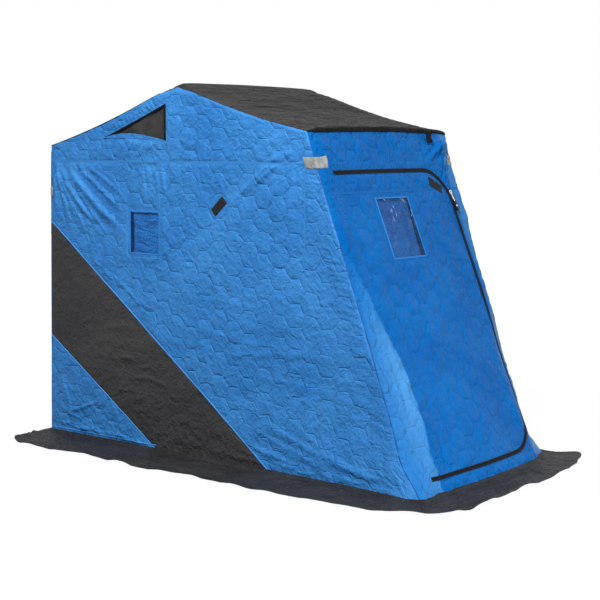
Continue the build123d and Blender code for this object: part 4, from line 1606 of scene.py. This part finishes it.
ZIP_SECTION = [(-0.0012, -CLOTH), (0.0, -0.002), (0.0004, 0.0012), (-0.0010, 0.0030)]
ZIP_SECTION += [(-0.0045, 0.0036), (-0.0060, 0.0030), (-0.0068, 0.0002)]
made = ribbon("frame_zip_tape", doorway_path(GAP / 2), ZIP_SECTION, front, ZIP_TAPE, front_relief)
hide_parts("frame_zip")
mirrored = [(-across, lift) for across, lift in ZIP_SECTION]
made = ribbon(
    "door_zip_tape", doorway_path(-GAP / 2), mirrored, front, ZIP_TAPE, front_relief, flip=True,
    body="door",
)
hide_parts("door_zip")
made = teeth(
    "frame_zip_teeth", doorway_path(0.0), inward_by=0.0006, outward_by=-0.0034, phase=0.004, body="shell"
)
made = teeth(
    "door_zip_teeth", doorway_path(0.0), inward_by=-0.0006, outward_by=0.0034, phase=0.0061, body="door"
)


# ---- Slider ----

sh = Shader("zip_metal")
at = sh.node("ShaderNodeTexCoord").outputs["Object"]
tone = sh.mix(sh.ramp(sh.noise(at, 220.0, 4.0), 0.3, 0.7), rgb(188, 190, 194), rgb(214, 216, 219))
rough = sh.ramp(sh.noise(at, 400.0, 3.0), 0.3, 0.7, 0.22, 0.40)
METAL = sh.finish(Base_Color=tone, Metallic=0.9, Roughness=rough)

slider_at = (ZIP_U + 0.001, slope_span("zip_slider")[1] - 0.012)
LEAN = 11.0  # degrees, so that the pull hangs towards the far side


def down_pull(distance):
    """A place on the pull's line, this far below the middle of the slider."""
    turn = math.radians(LEAN)
    return slider_at[0] + distance * math.sin(turn), slider_at[1] - distance * math.cos(turn)


def plate(outline, low, high, distance, material, bevel=0.0007, hole=None):
    """A bevelled plate on the door, turned to the pull's lean and this far below the slider's middle.

    hole is an inner outline.
    """
    c, s = math.cos(math.radians(LEAN)), math.sin(math.radians(LEAN))
    origin = down_pull(distance)
    outline = np.asarray(outline, float)
    n = len(outline)

    def ring(points, lift):
        u = origin[0] + c * points[:, 0] - s * points[:, 1]
        v = origin[1] + s * points[:, 0] + c * points[:, 1]
        return place(*front(u, v), np.full(len(points), lift))

    def shrink(points, by):
        away = points - points.mean(0)
        return points - unit(away) * by

    rings = [ring(outline, low), ring(outline, high - bevel), ring(shrink(outline, bevel), high)]
    if hole is not None:
        hole = np.asarray(hole, float)
        rings += [ring(shrink(hole, -bevel), high), ring(hole, high - bevel), ring(hole, low)]
    points = np.concatenate(rings)
    faces = []
    for k in range(len(rings) - 1):
        faces += [
            [k * n + i, k * n + (i + 1) % n, (k + 1) * n + (i + 1) % n, (k + 1) * n + i] for i in range(n)
        ]
    if hole is None:
        faces.append([2 * n + i for i in range(n)])
    return make_object("plate", points, faces, material, np.zeros((len(points), 3)), body="door")


OVAL_POINTS = 28


def oval(rx, ry, power, taper=0.0):
    """A rounded outline about 0, narrower at its foot by the taper."""
    turn = np.arange(OVAL_POINTS) * 2 * math.pi / OVAL_POINTS
    x = np.sign(np.cos(turn)) * np.abs(np.cos(turn)) ** (2 / power) * rx
    y = np.sign(np.sin(turn)) * np.abs(np.sin(turn)) ** (2 / power) * ry
    return np.stack([x * (1 + taper * y / ry), y], 1)


bits = [
    plate(oval(0.0085, 0.0105, 2.6), 0.0074, 0.0110, 0.0, METAL, hole=oval(0.0034, 0.0046, 2.4)),
    plate(oval(0.0050, 0.0200, 3.0, taper=0.10), 0.0074, 0.0106, 0.028, METAL),
    plate(oval(0.0056, 0.0050, 2.2), 0.0100, 0.0126, 0.070, METAL),
]
made = join("zip_slider_body", bits)
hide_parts("zip_slider")
bits = [
    plate(oval(0.0155, 0.0310, 2.6, taper=-0.10), 0.0028, 0.0076, 0.014, COIL, 0.0012),
    plate(oval(0.0112, 0.0270, 3.0, taper=-0.15), 0.0060, 0.0104, 0.068, COIL, 0.0012),
]
made = join("zip_pull_grip", bits)


# ---- Snow skirt ----

# Each row is a place on the wall's foot, as (across, forward), and the skirt's outer edge there
STATIONS = [
    ((0.0, 0.0), (0.0, -0.047)),
    ((-0.45, 0.0), (-0.45, -0.046)),
    ((-HALF, 0.0), (-0.545, -0.044)),
    ((-HALF, 0.0), (-0.66, -0.022)),
    ((-HALF, 0.004), (-0.752, 0.000)),
    ((-HALF, 0.04), (-0.790, 0.040)),
    ((-HALF, 0.239), (-0.816, 0.239)),
    ((-HALF, 0.527), (-0.817, 0.527)),
    ((-HALF, 0.990), (-0.818, 0.990)),
    ((-HALF, 1.545), (-0.812, 1.545)),
    ((-HALF, 2.02), (-0.780, 2.06)),
    ((-HALF, 2.13), (-0.757, 2.216)),
    ((-HALF, LENGTH), (-0.705, 2.334)),
    ((-HALF + 0.035, LENGTH), (-0.596, 2.424)),
    ((-HALF + 0.15, LENGTH), (-0.42, 2.438)),
    ((-HALF + 0.265, LENGTH), (-0.255, 2.441)),
    ((-0.004, LENGTH), (-0.004, 2.440)),
    ((0.29, LENGTH), (0.300, 2.424)),
    ((0.455, LENGTH), (0.504, 2.385)),
    ((HALF, LENGTH), (0.662, 2.284)),
    ((HALF, 2.155), (0.606, 2.222)),
    ((HALF, 2.10), (0.614, 2.125)),
    ((HALF, 2.02), (0.646, 2.030)),
    ((HALF, 1.86), (0.708, 1.86)),
    ((HALF, 1.50), (0.772, 1.50)),
    ((HALF, 0.990), (0.796, 0.990)),
    ((HALF, 0.527), (0.786, 0.527)),
    ((HALF, 0.239), (0.782, 0.239)),
    ((HALF, 0.04), (0.764, 0.045)),
    ((HALF, 0.004), (0.742, 0.006)),
    ((HALF, 0.0), (0.66, -0.022)),
    ((HALF, 0.0), (0.545, -0.044)),
    ((0.45, 0.0), (0.45, -0.046)),
    ((0.0, 0.0), (0.0, -0.047)),
]
inner_at = np.array([a for a, _ in STATIONS])
outer_at = np.array([b for _, b in STATIONS])
along_outer = distance_along(outer_at)
SKIRT_STEP = 0.011
run = np.linspace(0, along_outer[-1], int(along_outer[-1] / SKIRT_STEP))


def eased_path(points, stations, at):
    """A smooth line through points at their stations, as cubic pieces with shared slopes."""
    slope = np.gradient(points, stations, axis=0)
    k = np.clip(np.searchsorted(stations, at, side="right") - 1, 0, len(stations) - 2)
    h = stations[k + 1] - stations[k]
    t = ((at - stations[k]) / h)[:, None]
    h = h[:, None]
    return (
        (2 * t**3 - 3 * t**2 + 1) * points[k]
        + (t**3 - 2 * t**2 + t) * h * slope[k]
        + (-2 * t**3 + 3 * t**2) * points[k + 1]
        + (t**3 - t**2) * h * slope[k + 1]
    )


inner = np.stack([np.interp(run, along_outer, inner_at[:, k]) for k in (0, 1)], 1)
outer = eased_path(outer_at, along_outer, run)
ROWS_ACROSS = 26
share = np.linspace(0, 1, ROWS_ACROSS)
foot_world = place(inner[:, 0], inner[:, 1], 0.012, 0.0015)
foot_flat = np.stack([foot_world[:, 0], REAR_Y - foot_world[:, 1]], 1)
reach = np.linalg.norm(outer - foot_flat, axis=1)
scallop = (
    0.004 * ripples(run, run * 0, 400, 0.42, 0.0, 0.2)
    + 0.0016 * ripples(run, run * 0, 401, 0.13, 0.0, 0.2)
)
outer = outer + (outer - foot_flat) / reach[:, None] * (scallop * smooth(0.02, 0.15, reach))[:, None]
q, w = np.meshgrid(run, share, indexing="ij")
wide = reach[:, None] * w
flat_x = foot_flat[:, 0:1] * (1 - w) + outer[:, 0:1] * w
flat_s = foot_flat[:, 1:2] * (1 - w) + outer[:, 1:2] * w
long_folds = ripples(q * 0.20 + wide * 0.9, wide, 410, 0.085, math.pi / 2, 0.7, 12)
fine_folds = ripples(q * 0.35, wide, 411, 0.035, math.pi / 2, 0.9, 12)
cross_folds = ripples(q, wide * 0.4, 412, 0.30, 0.2, 0.8, 12)
lift = (
    0.0060 * np.abs(long_folds) + 0.0012 * fine_folds * (1 - smooth(0.7, 1.0, w))
    + 0.0045 * np.clip(cross_folds, -0.3, 1.5)
)
pressed = 1 - 0.75 * smooth(0.50, 0.60, flat_x) * smooth(1.1, 1.7, flat_s)
lift = (
    np.maximum(lift, 0.0) * smooth(0.0, 0.03, wide) * (0.55 + 0.6 * smooth(0.4, 1.0, w))
    * smooth(0.03, 0.12, reach[:, None]) * pressed
)
edge_curl = 0.004 * np.clip(ripples(q, q * 0, 413, 0.60, 0.0, 0.3), 0, 1.5) * smooth(0.80, 1.0, w) * pressed
height = 0.0016 + lift + edge_curl + 0.012 * (1 - smooth(0.0, 0.016, wide)) ** 2
world = np.stack([flat_x, REAR_Y - flat_s, height], -1).reshape(-1, 3)
own = np.stack([q, wide, np.zeros_like(q)], -1).reshape(-1, 3)
i, j = np.meshgrid(np.arange(len(run) - 1), np.arange(ROWS_ACROSS - 1), indexing="ij")
a = i * ROWS_ACROSS + j
quads = np.stack([a, a + ROWS_ACROSS, a + ROWS_ACROSS + 1, a + 1], -1)
middle_at = (inner[:-1] + inner[1:]) / 2
is_rear = middle_at[:, 1] < 0.002
is_front = middle_at[:, 1] > LENGTH - 0.0005
is_left = ~is_rear & ~is_front & (middle_at[:, 0] < 0)
is_right = ~is_rear & ~is_front & (middle_at[:, 0] > 0)
for part, chosen in (("left", is_left), ("right", is_right), ("front", is_front), ("rear", is_rear)):
    faces = quads[chosen].reshape(-1, 4).tolist()
    made = make_object(f"skirt_{part}_cloth", world, faces, SKIRT_CLOTH, own, True)
    thick = made.modifiers.new("thickness", "SOLIDIFY")
    thick.thickness = 0.0012
    thick.offset = 1.0
    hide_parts(f"skirt_{part}")


# ---- Frame ----

def metal_finish(name, colour, other, roughness, metallic):
    sh = Shader(name)
    at = sh.node("ShaderNodeTexCoord").outputs["Object"]
    grain = sh.noise(at, 320.0, 4.0, 0.6)
    patchy = sh.noise(at, 9.0, 4.0, 0.6)
    base = sh.mix(sh.ramp(patchy, 0.35, 0.65), colour, other)
    rough = sh.ramp(grain, 0.3, 0.7, roughness - 0.08, roughness + 0.08)
    return sh.finish(
        Base_Color=base, Metallic=metallic, Roughness=rough, Normal=sh.bump(sh.times(grain, 0.00012))
    )


TUBE_FINISH = metal_finish(
    "frame_tube", rgb(150, 152, 156), rgb(132, 134, 139), roughness=0.36, metallic=0.85
)
STEEL_FINISH = metal_finish("bracket_steel", rgb(44, 45, 48), rgb(34, 35, 38), roughness=0.5, metallic=0.1)
TUBES = BOWS + ["base_bar_rear", "base_bar_front", "base_rail_left", "base_rail_right"]
BRACKETS = ["pivot_bracket_left", "pivot_bracket_right"]
for nodes, finish in ((TUBES, TUBE_FINISH), (BRACKETS, STEEL_FINISH)):
    for node in nodes:
        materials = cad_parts[node].data.materials
        materials.clear()
        materials.append(finish)


# ---- Stage and light ----

def soft_light(name, location, target, size, power):
    lamp = bpy.data.lights.new(name, "AREA")
    lamp.shape = "RECTANGLE"
    lamp.size, lamp.size_y = size
    lamp.energy = power
    made = bpy.data.objects.new(name, lamp)
    made.location = location
    made.rotation_mode = "QUATERNION"
    made.rotation_quaternion = (Vector(target) - Vector(location)).to_track_quat("-Z", "Y")
    bpy.context.scene.collection.objects.link(made)
    return made


soft_light("key", (-3.9, -1.5, 5.2), (0, 0, 0.7), (1.2, 1.2), 465)
soft_light("fill", (-0.6, -3.7, 0.5), (0.1, -1.1, 0.2), (1.4, 0.7), 60)
# The back lamp has no glare: seen from the front it would mirror itself in the roof and the skirt.
back_lamp = soft_light("back", (4.9, 2.3, 3.0), (0.3, 0.6, 0.7), (2.2, 2.2), 120)
back_lamp.visible_glossy = False


def shown_white(sh):
    """1 where the background is seen directly, mirrored or through glass, and 0 where it only gives light."""
    rays = sh.node("ShaderNodeLightPath").outputs
    seen = sh.math("MAXIMUM", rays["Is Camera Ray"], rays["Is Glossy Ray"])
    return sh.math("MAXIMUM", seen, rays["Is Transmission Ray"])


world = bpy.data.worlds.new("studio")
bpy.context.scene.world = world
sh = Shader(world)
dim = sh.node("ShaderNodeBackground", {"Color": WHITE, "Strength": 0.21})
bright = sh.node("ShaderNodeBackground", {"Color": WHITE, "Strength": 1.0})
both = sh.node("ShaderNodeMixShader", {0: shown_white(sh), 1: dim.outputs[0], 2: bright.outputs[0]})
sh.node("ShaderNodeOutputWorld", {"Surface": both.outputs[0]})

sh = Shader("pale_floor")
lit = sh.node("ShaderNodeBsdfDiffuse", {"Color": (0.22, 0.22, 0.22, 1)})
white = sh.node("ShaderNodeEmission", {"Color": (1, 1, 1, 1), "Strength": 1.12})
far_away = sh.vector("LENGTH", sh.node("ShaderNodeTexCoord").outputs["Object"])
share = sh.times(shown_white(sh), sh.ramp(far_away, 1.8, 4.0, 0.865, 1.0))
both = sh.node("ShaderNodeMixShader", {0: share, 1: lit.outputs[0], 2: white.outputs[0]})
sh.node("ShaderNodeOutputMaterial", {"Surface": both.outputs[0]})
points, faces = grid(-40.0, 40.0, -40.0, 40.0, 8.0)
mesh = bpy.data.meshes.new("floor")
mesh.from_pydata(np.column_stack([points, np.zeros(len(points))]).tolist(), [], faces)
mesh.materials.append(sh.owner)
floor = bpy.data.objects.new("floor", mesh)
bpy.context.scene.collection.objects.link(floor)

bpy.context.scene.view_settings.view_transform = "Standard"
